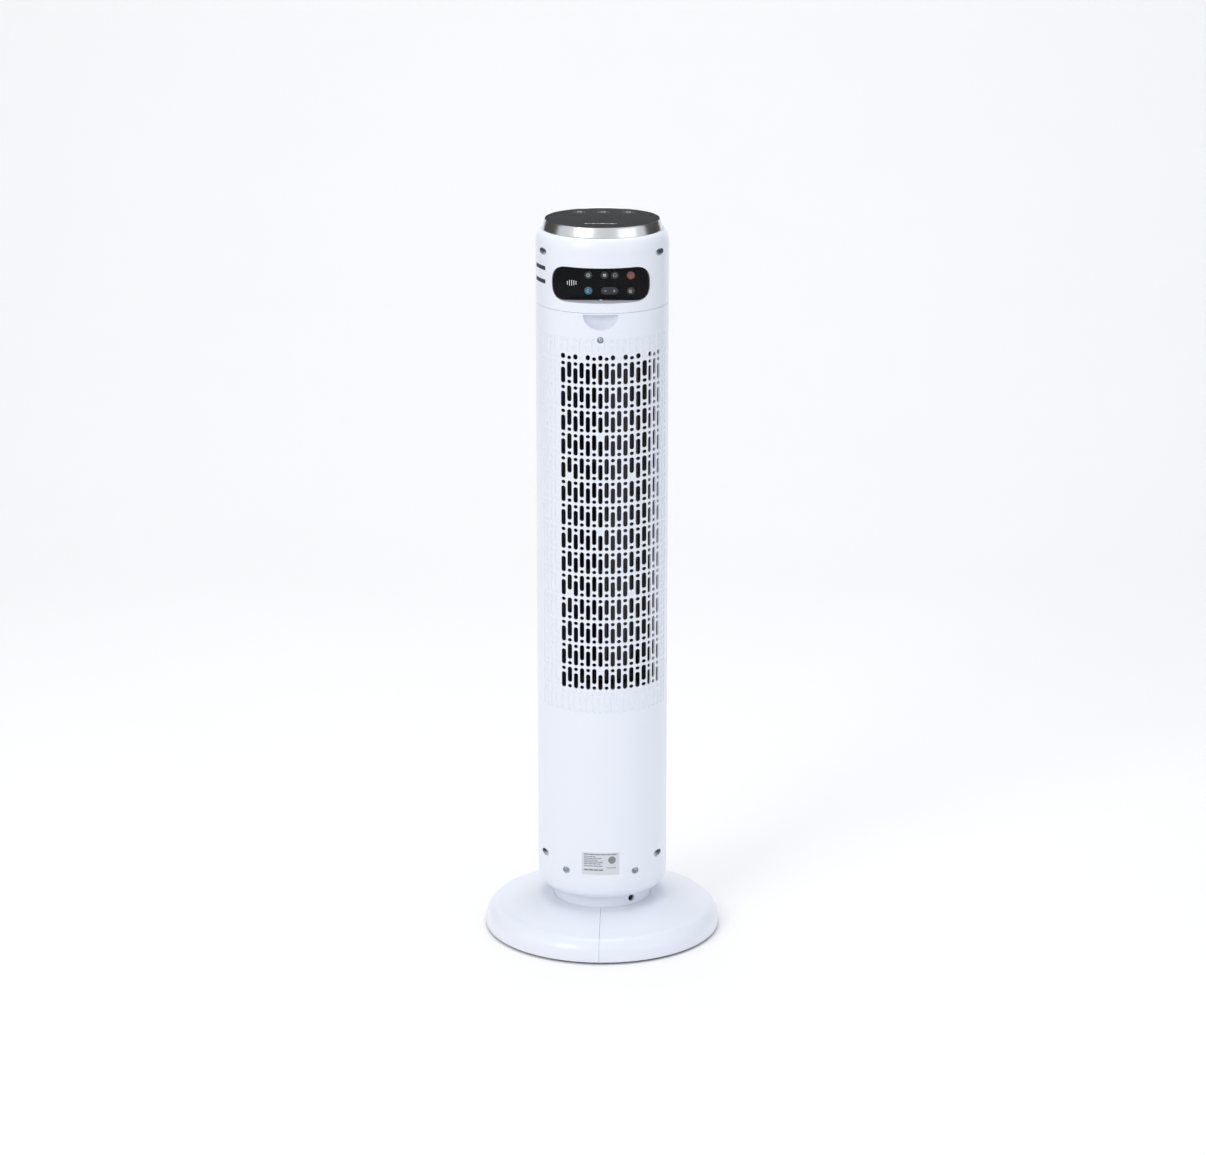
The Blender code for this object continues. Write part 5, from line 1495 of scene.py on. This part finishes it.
@dataclass
class Head:
    """The head: its two covers, the remote's dock, the trim ring and the glass panel."""

    low: float = 0.813
    high: float = 0.9027
    dock_floor: float = -0.05246
    dock_gap: float = 0.001
    screws: float = 0.881
    tab: tuple[Spot, Spot] = ((-0.0015, -0.0600, 0.8247), (0.0015, -0.0560, 0.82585))
    sticker_turns: Flat = (math.radians(-77), math.radians(-56))
    sticker_bars: Flat = (0.8446, 0.8610)
    sticker_half: float = 0.0025
    ring_outline: tuple[Flat, ...] = (
        (0.0695, 0.9030), (0.0735, 0.9030), (0.0735, 0.9034), (0.0732, 0.9046), (0.0721, 0.9088),
        (0.0709, 0.9130), (0.0704, 0.9145), (0.0701, 0.9149), (0.0698, 0.9150), (0.0695, 0.9147),
    )
    glass_top: float = 0.9146
    glass_outline: tuple[Flat, ...] = (
        (0.0, 0.9116), (0.0682, 0.9116), (0.0685, 0.9119), (0.0685, 0.9143), (0.0682, 0.9146), (0.0, 0.9146),
    )
    touch_spots: tuple[float, ...] = (-0.029, 0.0, 0.031)
    dashes: tuple[float, ...] = (0.0030, 0.0015, 0.0044, 0.0022, 0.0060, 0.0022, 0.0052, 0.0012)

    def cover(self, facing: float, holes: Sequence[Hole] = ()) -> bpy.types.Mesh:
        """Builds a cover that faces the rear or the front."""
        curve = [SHOULDER_LEVEL + SHOULDER_HEIGHT * math.sin(math.radians(9 * i)) for i in range(9)]
        rises = tuple(sorted([*levels(self.low, SHOULDER_LEVEL, 8), *curve]))
        wrap = Wrap(facing=facing, shoulder_level=SHOULDER_LEVEL)
        sheet = Sheet(wrap, HALF_TURN, self.low, self.high, levels=rises, holes=list(holes))
        return sheet.laid("cover", WHITE)

    def dock(self, wrap: Wrap) -> Hole:
        """Returns the recess that holds the remote, with straight walls that run along Y."""
        shape = RemoteShape()
        return wrap.sunk(lambda grow: shape.outline(self.dock_gap + grow, 20), self.dock_floor)

    def rear(self) -> bpy.types.Mesh:
        """Builds the rear cover with its dock, and the tab under the remote."""
        wrap = Wrap(shoulder_level=SHOULDER_LEVEL)
        holes = [self.dock(wrap)]
        for side in (-1, 1):
            holes.append(wrap.bore(side * SIDE_SCREW, self.screws, SCREW_BORE, SIDE_SCREW_FLOOR))
        cover = self.cover(1.0, holes)
        tab = Soup()
        tab.box(*self.tab)
        return joined([cover, tab.mesh("tab")])

    def sticker(self) -> bpy.types.Mesh:
        """Builds the two printed bars on the left of the head."""
        soup = Soup()
        radii = (TOWER_RADIUS - 0.00002, TOWER_RADIUS + 0.0001)
        for middle in self.sticker_bars:
            heights = (middle - self.sticker_half, middle + self.sticker_half)
            curved_patch(soup, radii, self.sticker_turns, heights, 8)
        return soup.mesh("sticker")

    def ring(self) -> bpy.types.Mesh:
        """Builds the plated trim ring: a soft bevel outside and a fine lip inside."""
        soup = Soup()
        lathe(soup, self.ring_outline, 192)
        return soup.mesh("ring")

    def panel(self) -> bpy.types.Mesh:
        """Builds the glass disc with its touch signs: rings, small arcs and plain bars."""
        soup = Soup()
        lathe(soup, self.glass_outline, 160)
        row, bars, dash_row, line = 0.039, 0.0445, -0.037, 0.0008
        prints = []
        for x in self.touch_spots:
            prints.append((arc_band(x, row, 0.0070, 0.0006, (0, 358), 40), 1))
            prints.append((arc_band(x, row, 0.0024, 0.0009, (-60, 200), 14), 2))
            prints.append((bar(x - 0.0030, bars, x + 0.0030, bars, line), 2))
        spot = -0.020
        for length in self.dashes:
            prints.append((bar(spot, dash_row, spot + length, dash_row, 0.0026), 2))
            spot += length + 0.0018
        for outline, ink in prints:
            heights = (self.glass_top - 0.0001, self.glass_top + 0.00003)
            soup.loft([[(x, y, z) for x, y in outline] for z in heights], mark=ink)
        return soup.mesh("panel")

    def build(self) -> None:
        """Builds the five pieces."""
        for side, mesh in (("rear", self.rear()), ("front", self.cover(-1.0))):
            node = f"head_{side}_cover"
            # The second finish paints the shade inside the head onto each cover's back and the outside of its
            # dock.
            piece(f"head_{side}_moulding", mesh, "tower", "white_shell", [WHITE, PAINTED_SHADE_INSIDE], [node])
        piece("head_sticker", self.sticker(), "tower", "label", [INK_DARK])
        piece("plated_ring", self.ring(), "tower", "bright_trim", [TRIM], ["trim_ring"])
        finishes = [GLASS, INK_GREY, INK_WHITE]
        piece("glass_panel", self.panel(), "tower", "black_gloss", finishes, ["control_panel"])


# ---- Base -------------------------------------------------------------------------------------------
@dataclass
class Base:
    """The round base: two moulded halves, the neck that joins them, and the feet."""

    seam: float = 0.00015
    inner: float = 0.0623
    lowest: float = 0.003
    steps: int = 96
    ribs: int = 3
    rib_half: float = 0.001
    rib_outline: tuple[Flat, ...] = (
        (0.079, 0.005), (0.136, 0.005), (0.141, 0.016), (0.134, 0.026), (0.110, 0.0355), (0.079, 0.0402),
    )
    cord_turn: float = math.radians(38)
    cord_height: float = 0.052
    cord_radius: float = 0.0045
    cord_reach: Flat = (0.050, 0.070)
    foot_radius: float = 0.009
    foot_edge: float = 0.0012
    foot_top: float = 0.0045
    curve: tuple[Flat, ...] = (
        (0.0623, 0.0430), (0.0800, 0.0427), (0.0940, 0.0410), (0.1100, 0.0378), (0.1255, 0.0332),
        (0.1370, 0.0299), (0.1430, 0.0247), (0.1470, 0.0181), (0.1485, 0.0100), (0.1485, 0.0040),
        (0.1482, 0.0030),
    )

    def outline(self) -> list[Flat]:
        """Returns the closed outline of the wall, anticlockwise in (radius, height)."""
        outside = smooth_curve(self.curve, 4)
        inside_line = []
        for i, (radius, height) in enumerate(outside):
            before, after = outside[max(i - 1, 0)], outside[min(i + 1, len(outside) - 1)]
            along, rise = after[0] - before[0], after[1] - before[1]
            length = math.hypot(along, rise)
            spot = (radius + rise / length * SHELL_WALL, height - along / length * SHELL_WALL)
            inside_line.append((max(spot[0], self.inner), max(spot[1], self.lowest)))
        return outside[::-1] + inside_line

    def half(self, side: int) -> bpy.types.Mesh:
        """Builds one half. Side 1 is at +X and side -1 at -X."""
        outline, soup, rings = self.outline(), Soup(), []
        for i in range(self.steps + 1):
            turn = -math.pi / 2 + math.pi * i / self.steps
            ring = []
            for radius, height in outline:
                x = max(radius * math.cos(turn), self.seam)
                ring.append((side * x, radius * math.sin(turn), height))
            rings.append(ring)
        soup.loft(rings)
        for i in range(self.ribs):
            turn = -math.pi / 2 + math.pi / self.ribs * (i + 0.5)
            along = Vector((side * math.cos(turn), math.sin(turn), 0.0))
            across = Vector((-along.y, along.x, 0.0)) * self.rib_half
            sides = []
            for face in (-across, across):
                sides.append([tuple(along * r + face + Vector((0, 0, z))) for r, z in self.rib_outline])
            soup.loft(sides)
        return soup.mesh("half")

    def neck(self) -> bpy.types.Mesh:
        """Builds the neck: a drum with a flange below, and the mains cord's hole."""
        soup = Soup()
        low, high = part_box("neck_collar")
        inner, outer, edge = 0.0590, 0.0620, 0.0004
        outline = [(inner, low.z), (high.x, low.z), (high.x, low.z + 0.0026), (0.0640, low.z + 0.0030)]
        outline += [(outer, low.z + 0.0050), (outer, high.z - edge), (outer - edge, high.z)]
        lathe(soup, [*outline, (inner + edge, high.z), (inner, high.z - edge)], 160)
        bore = Soup()
        along = Vector((math.sin(self.cord_turn), -math.cos(self.cord_turn), 0.0))
        across = Vector((-along.y, along.x, 0.0)) * self.cord_radius
        rings = []
        for reach in self.cord_reach:
            middle = along * reach + Vector((0.0, 0.0, self.cord_height))
            rise = Vector((0.0, 0.0, self.cord_radius))
            rings.append([tuple(middle + across * math.cos(a) + rise * math.sin(a)) for a in turns_of(32)])
        bore.loft(rings)
        return cut(soup.mesh("neck"), bore.mesh("bore"))

    def foot(self) -> bpy.types.Mesh:
        """Builds one foot, about the middle of its underside."""
        soup = Soup()
        outline = [(0.0, 0.0004), (0.0060, 0.0004), (0.0066, 0.0)]
        for a in np.linspace(math.pi / 2, 0, 6):
            inset = self.foot_edge * (1 - math.cos(a))
            outline.append((self.foot_radius - inset, self.foot_edge * (1 - math.sin(a))))
        lathe(soup, [*outline, (self.foot_radius, self.foot_top), (0.0, self.foot_top)], 40)
        return soup.mesh("foot")

    def build(self) -> None:
        """Builds the pieces."""
        for side, node in ((-1, "base_half_left"), (1, "base_half_right")):
            piece(f"{node}_moulding", self.half(side), "base", "white_shell", [WHITE], [node])
        piece("neck_moulding", self.neck(), "base", "white_shell", [WHITE], ["neck_collar"])
        sites = [(*middle_of(f"foot_{i}")[:2], 0.0) for i in range(1, 5)]
        feet = repeated("feet", self.foot(), [Site(spot, 0.0) for spot in sites], RUBBER, Lie.UPRIGHT)
        piece("feet", feet, "base", "rubber", [RUBBER], [f"foot_{i}" for i in range(1, 5)])


def middle_of(node: str) -> Vector:
    """Returns the middle of a CAD node's box."""
    low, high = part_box(node)
    return (low + high) / 2


# ---- Repeated shapes --------------------------------------------------------------------------------
@dataclass(frozen=True)
class Site:
    """Where a copy goes, and how far it is turned about its own axis."""

    spot: Spot
    turn: float


class Lie(Enum):
    """Which way a copy's own Z axis points."""

    UPRIGHT = (0.0, 0.0, 0.0)
    REARWARD = (math.pi / 2, 0.0, 0.0)


def copies_tree() -> bpy.types.NodeTree:
    """Builds the node tree that puts a copy of an object at each point."""
    made = bpy.data.node_groups.get("copies")
    if made is not None:
        return made
    inputs = {"Points": "Geometry", "Shape": "Object", "Finish": "Material", "Lie": "Vector"}
    graph = Graph.group("copies", inputs)
    given = graph.node("NodeGroupInput").outputs
    shape = graph.node("GeometryNodeObjectInfo", values={"Object": given["Shape"]})
    turn = graph.node("GeometryNodeInputNamedAttribute", {"data_type": "FLOAT"}, {"Name": "turn"})
    about = graph.node("ShaderNodeCombineXYZ", values={2: turn.outputs["Attribute"]})
    own = graph.node("FunctionNodeEulerToRotation", values={0: about.outputs[0]})
    lie = graph.node("FunctionNodeEulerToRotation", values={0: given["Lie"]})
    facing = graph.node("FunctionNodeRotateRotation", values={0: own.outputs[0], 1: lie.outputs[0]})
    values = {"Points": given["Points"], "Instance": shape.outputs["Geometry"], "Rotation": facing.outputs[0]}
    copies = graph.node("GeometryNodeInstanceOnPoints", values=values)
    return graph.done(copies.outputs[0], given["Finish"])


def repeated(
    name: str, shape: bpy.types.Mesh, sites: Sequence[Site], finish: Finish, lie: Lie
) -> bpy.types.Mesh:
    """Returns a mesh that holds a copy of a shape at each site.

    Args:
        name: of the mesh.
        shape: about its own origin.
        sites: where the copies go.
        finish: of all of them.
        lie: which way they point.
    """
    source = linked("shape", shape)
    spots = bpy.data.meshes.new("sites")
    spots.from_pydata([site.spot for site in sites], [], [])
    turns = spots.attributes.new("turn", "FLOAT", "POINT")
    turns.data.foreach_set("value", [site.turn for site in sites])
    made = evaluated(linked("carrier", spots), copies_tree(), [source, finish.material(), lie.value])
    bpy.data.objects.remove(source)
    made.name = name
    return made


@dataclass
class Screw:
    """A pan-head screw with a cross recess, its head's rim at its origin and its shank along -Z."""

    head: float = 0.00335
    height: float = 0.0022
    shank: float = 0.00148
    length: float = 0.0140
    tip: float = 0.0015
    cross_reach: float = 0.0017
    cross_half: float = 0.00036
    cross_depth: float = 0.0013

    def mesh(self) -> bpy.types.Mesh:
        """Builds the screw."""
        soup = Soup()
        turns = np.linspace(math.pi / 2, 0.25, 6)
        dome = [(self.head * math.sin(a), self.height * (0.35 + 0.65 * math.cos(a))) for a in turns]
        outline = [(0.0, -self.length), (self.shank / 2, -self.length), (self.shank, self.tip - self.length)]
        lathe(soup, [*outline, (self.shank, 0.0), (self.head, 0.0), *dome, (0.0, dome[-1][1])], 28)
        far, near = self.cross_reach, self.cross_half
        arm = [(far, -near), (far, near), (near, near)]
        corners = [spot for turn in range(4) for spot in quarter_turned(arm, turn)]
        cross = Soup()
        heights = (self.height - self.cross_depth, self.height + 0.0011)
        cross.loft([[(x, y, z) for x, y in corners] for z in heights])
        return cut(soup.mesh("screw"), cross.mesh("cross"))


def quarter_turned(points: Sequence[Flat], count: int) -> list[Flat]:
    """Returns flat points turned anticlockwise about the origin by so many quarter turns."""
    for _ in range(count):
        points = [(-y, x) for x, y in points]
    return list(points)


SCREWS = {
    "shell_screws": ("shell_screw_left", "shell_screw_right"),
    "lower_screws": ("lower_screw_left", "lower_screw_right"),
    "head_screws": ("head_screw_left", "head_screw_right"),
    "top_screw": ("grille_screw",),
}


def build_screws() -> None:
    """Builds the screws that show, each with its cross turned its own way."""
    screw = Screw()
    for name, nodes in SCREWS.items():
        sites = []
        for count, node in enumerate(nodes):
            low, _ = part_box(node)
            middle = middle_of(node)
            sites.append(Site((middle.x, low.y + screw.height, middle.z), 0.5 + 1.1 * count))
        made = repeated(name, screw.mesh(), sites, STEEL, Lie.REARWARD)
        piece(name, made, "tower", "steel", [STEEL], nodes)


@dataclass
class Blower:
    """The cross-flow wheel: thin forward-curved blades between discs."""

    blades: int = 28
    outer: float = 0.0420
    inner: float = 0.0345
    thick: float = 0.0007
    low: float = 0.3394
    high: float = 0.7607
    bays: int = 3
    arc_steps: int = 4
    disc: float = 0.0430
    disc_half: float = 0.001
    disc_edge: float = 0.0004
    boss: float = 0.0110
    spindle: float = 0.0040

    def blade(self) -> bpy.types.Mesh:
        """Builds one blade, standing at +X."""
        soup = Soup()
        near, far = [], []
        for i in range(self.arc_steps + 1):
            share = i / self.arc_steps
            radius = self.inner + (self.outer - self.inner) * share
            turn = 0.16 * share - 0.05 * math.sin(math.pi * share)
            for side, angle in ((near, turn), (far, turn + self.thick / radius)):
                side.append((radius * math.cos(angle), radius * math.sin(angle)))
        outline, reach = near + far[::-1], self.disc_half
        soup.loft([[(x, y, z) for x, y in outline] for z in (self.low - reach, self.high + reach)])
        return soup.mesh("blade")

    def build(self) -> None:
        """Builds the wheel."""
        soup = Soup()
        step = (self.high - self.low) / self.bays
        for i in range(self.bays + 1):
            z = self.low + step * i
            inset, half, thin = self.disc - self.disc_edge, self.disc_half, self.disc_half - self.disc_edge
            outline = [(0.0, z - half), (inset, z - half), (self.disc, z - thin), (self.disc, z + thin)]
            lathe(soup, [*outline, (inset, z + half), (0.0, z + half)], 72)
        low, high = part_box("blower_wheel")
        outline = [(0.0, low.z), (self.boss, low.z), (self.boss, self.low)]
        outline += [(self.spindle, self.low + self.spindle), (self.spindle, high.z), (0.0, high.z)]
        lathe(soup, outline, 24)
        sites = [Site((0.0, 0.0, 0.0), turn) for turn in turns_of(self.blades)]
        # The blades and discs take the darkened grey that paints the shade inside the tower.
        blades = repeated("blades", self.blade(), sites, WHEEL_GREY_AND_SHADE, Lie.UPRIGHT)
        made = joined([soup.mesh("wheel"), blades])
        piece("blower_wheel_moulding", made, "blower", "grey_plastic", [WHEEL_GREY_AND_SHADE], ["blower_wheel"])


@dataclass
class Label:
    """The rating label low on the rear: silver foil with rows of plain bars and a round mark."""

    half: float = 0.0239
    low: float = 0.09425
    high: float = 0.12375
    lift: float = 0.00025
    ink_lift: float = 0.00032
    patch_step: float = 0.003
    cell_gap: float = 0.0006
    wide: float = 0.018  # a row that reaches past this has more cells
    rows: tuple[tuple[float, float, float, float], ...] = (  # height, start, end, thickness
        (0.1208, -0.021, 0.021, 0.0014), (0.1180, -0.021, -0.006, 0.0011), (0.1156, -0.021, 0.002, 0.0011),
        (0.1132, -0.021, -0.003, 0.0011), (0.1108, -0.021, 0.004, 0.0011), (0.1084, -0.021, 0.001, 0.0011),
        (0.1055, -0.021, 0.003, 0.0011), (0.1030, 0.008, 0.020, 0.0012), (0.0998, -0.021, 0.004, 0.0020),
    )
    mark_middle: Flat = (0.0145, 0.1140)
    mark_radius: float = 0.0048
    mark_step: float = 0.0011
    mark_half: float = 0.00035

    def patch(self, soup: Soup, across: Flat, heights: Flat, lift: float, mark: int = 0) -> None:
        """Adds a curved patch between two places across and two heights."""
        steps = max(2, math.ceil((across[1] - across[0]) / self.patch_step))
        turns = (across[0] / TOWER_RADIUS, across[1] / TOWER_RADIUS)
        curved_patch(soup, (TOWER_RADIUS - 0.0001, TOWER_RADIUS + lift), turns, heights, steps, mark)

    def build(self) -> None:
        """Builds the label."""
        soup = Soup()
        self.patch(soup, (-self.half, self.half), (self.low, self.high), self.lift)
        for height, first, last, thick in self.rows:
            cells = 6 if last > self.wide else 4
            width = (last - first) / cells
            for i in range(cells):
                across = (first + width * i, first + width * (i + 1) - self.cell_gap)
                self.patch(soup, across, (height, height + thick), self.ink_lift, 1)
        x, z = self.mark_middle
        for i in range(-4, 5):
            rise = self.mark_step * i
            reach = math.sqrt(self.mark_radius**2 - rise * rise)
            heights = (z + rise - self.mark_half, z + rise + self.mark_half)
            self.patch(soup, (x - reach, x + reach), heights, self.ink_lift, 2)
        finishes = [SILVER_LABEL, INK_GREY, INK_DARK]
        piece("foil_label", soup.mesh("label"), "tower", "label", finishes, ["rating_label"])


# ---- Carried-over parts, studio and camera ----------------------------------------------------------
CARRIED = {
    STEEL: "base_screw_1 base_screw_2 base_screw_3 base_screw_4 swing_shaft motor_shaft top_journal"
    " coin_cell",
    WHITE: "hub_plate",
    SATIN_BLACK: "scroll_wall tongue_wall remote_back led_display wiring_harness",
    GREY: "lower_chassis run_capacitor panel_carrier motor_plate bearing_bracket",
    RUBBER: "bearing_boot",
    MOTOR: "swing_motor blower_motor",
    GEAR: "swivel_washer sector_gear hub_nut swing_pinion",
    BOARD: "control_board remote_board",
    BRONZE: "bearing_bush",
}


def finish_carried_parts() -> None:
    """Gives each CAD part that stays in sight its finish."""
    for finish, names in CARRIED.items():
        for name in names.split():
            node = frame["nodes"][name]
            node.data.materials.clear()
            node.data.materials.append(finish.material())


@dataclass
class Studio:
    """A pale sweep, soft lights and the camera."""

    camera_spot: Spot = (0.1227, -4.3599, 1.7056)
    camera_tilt: tuple[float, float, float] = (74.06, 0.0, 1.6)
    lens: float = 108.26
    sensor: float = 36.0
    aim: Spot = (0.0, 0.0, 0.5)
    floor_front: float = -16.0
    floor_back: float = 1.6
    bend: float = 1.5  # radius of the sweep's curve
    half_width: float = 14.0
    height: float = 6.0

    def sweep(self) -> None:
        """Builds the floor and the wall that it curves up into."""
        soup = Soup()
        curve = [(self.floor_front, 0.0), (self.floor_back, 0.0)]
        for a in np.linspace(0.1, math.pi / 2, 12):
            curve.append((self.floor_back + self.bend * math.sin(a), self.bend - self.bend * math.cos(a)))
        curve.append((self.floor_back + self.bend, self.height))
        wide = self.half_width
        for (y0, z0), (y1, z1) in zip(curve, curve[1:]):
            soup.face([(-wide, y0, z0), (wide, y0, z0), (wide, y1, z1), (-wide, y1, z1)])
        mesh = soup.mesh("sweep", right_way=False)
        mesh.materials.append(FLOOR.material())
        mesh.shade_smooth()
        linked("studio_sweep", mesh)

    def light(self, name: str, spot: Spot, size: float, watts: float, colour: Colour) -> None:
        """Adds a soft square light that faces the fan."""
        data = bpy.data.lights.new(name, "AREA")
        data.shape, data.size, data.energy, data.color = "SQUARE", size, watts, colour
        made = linked(name, data)
        made.location = spot
        made.rotation_euler = (Vector(self.aim) - Vector(spot)).to_track_quat("-Z", "Y").to_euler()

    def world(self) -> None:
        """Sets an even, pale surround."""
        world = bpy.data.worlds.new("surround")
        world.use_nodes = True
        world.node_tree.nodes.clear()
        graph = Graph(world.node_tree)
        shade = graph.node("ShaderNodeBackground", values={"Color": (0.94, 0.96, 1.0, 1.0), "Strength": 0.74})
        graph.node("ShaderNodeOutputWorld", values={"Surface": shade.outputs[0]})
        bpy.context.scene.world = world

    def flags(self) -> None:
        """Adds dark cards at both sides and behind, which only reflections see."""
        cards = {
            "flag_left": ((-1.91, 0.1, 0.0), (-1.90, 3.0, 3.0)),
            "flag_right": ((1.90, 0.1, 0.0), (1.91, 3.0, 3.0)),
            "flag_back": ((-1.3, 2.60, 1.25), (1.3, 2.61, 2.7)),
        }
        for name, (low, high) in cards.items():
            soup = Soup()
            soup.box(low, high)
            mesh = soup.mesh(name)
            mesh.materials.append(CARD.material())
            made = linked(name, mesh)
            made.visible_camera = made.visible_diffuse = made.visible_shadow = False

    def camera(self) -> None:
        """Adds the camera."""
        data = bpy.data.cameras.new("camera")
        data.lens, data.sensor_width, data.sensor_fit = self.lens, self.sensor, "HORIZONTAL"
        data.clip_start, data.clip_end = 0.05, 60.0
        made = linked("camera", data)
        made.location = self.camera_spot
        made.rotation_euler = Euler([math.radians(angle) for angle in self.camera_tilt])
        bpy.context.scene.camera = made

    def build(self) -> None:
        """Builds the studio."""
        bpy.context.scene.view_settings.view_transform = "Standard"
        self.sweep()
        self.flags()
        self.world()
        self.light("key_light", (-2.2, -3.0, 2.6), 1.8, 48.0, (1.0, 0.985, 0.96))
        self.light("fill_light", (2.8, -2.2, 1.4), 2.4, 12.0, (0.90, 0.95, 1.0))
        self.light("top_light", (0.0, 0.3, 3.4), 2.0, 36.0, (1.0, 1.0, 1.0))
        self.camera()


def main() -> None:
    """Builds the fan's looks."""
    logging.basicConfig(level=logging.INFO, format="%(message)s")
    TowerShells().build()
    Head().build()
    Remote().build()
    Base().build()
    Blower().build()
    Label().build()
    build_screws()
    finish_carried_parts()
    Studio().build()


if __name__ == "__main__":
    main()
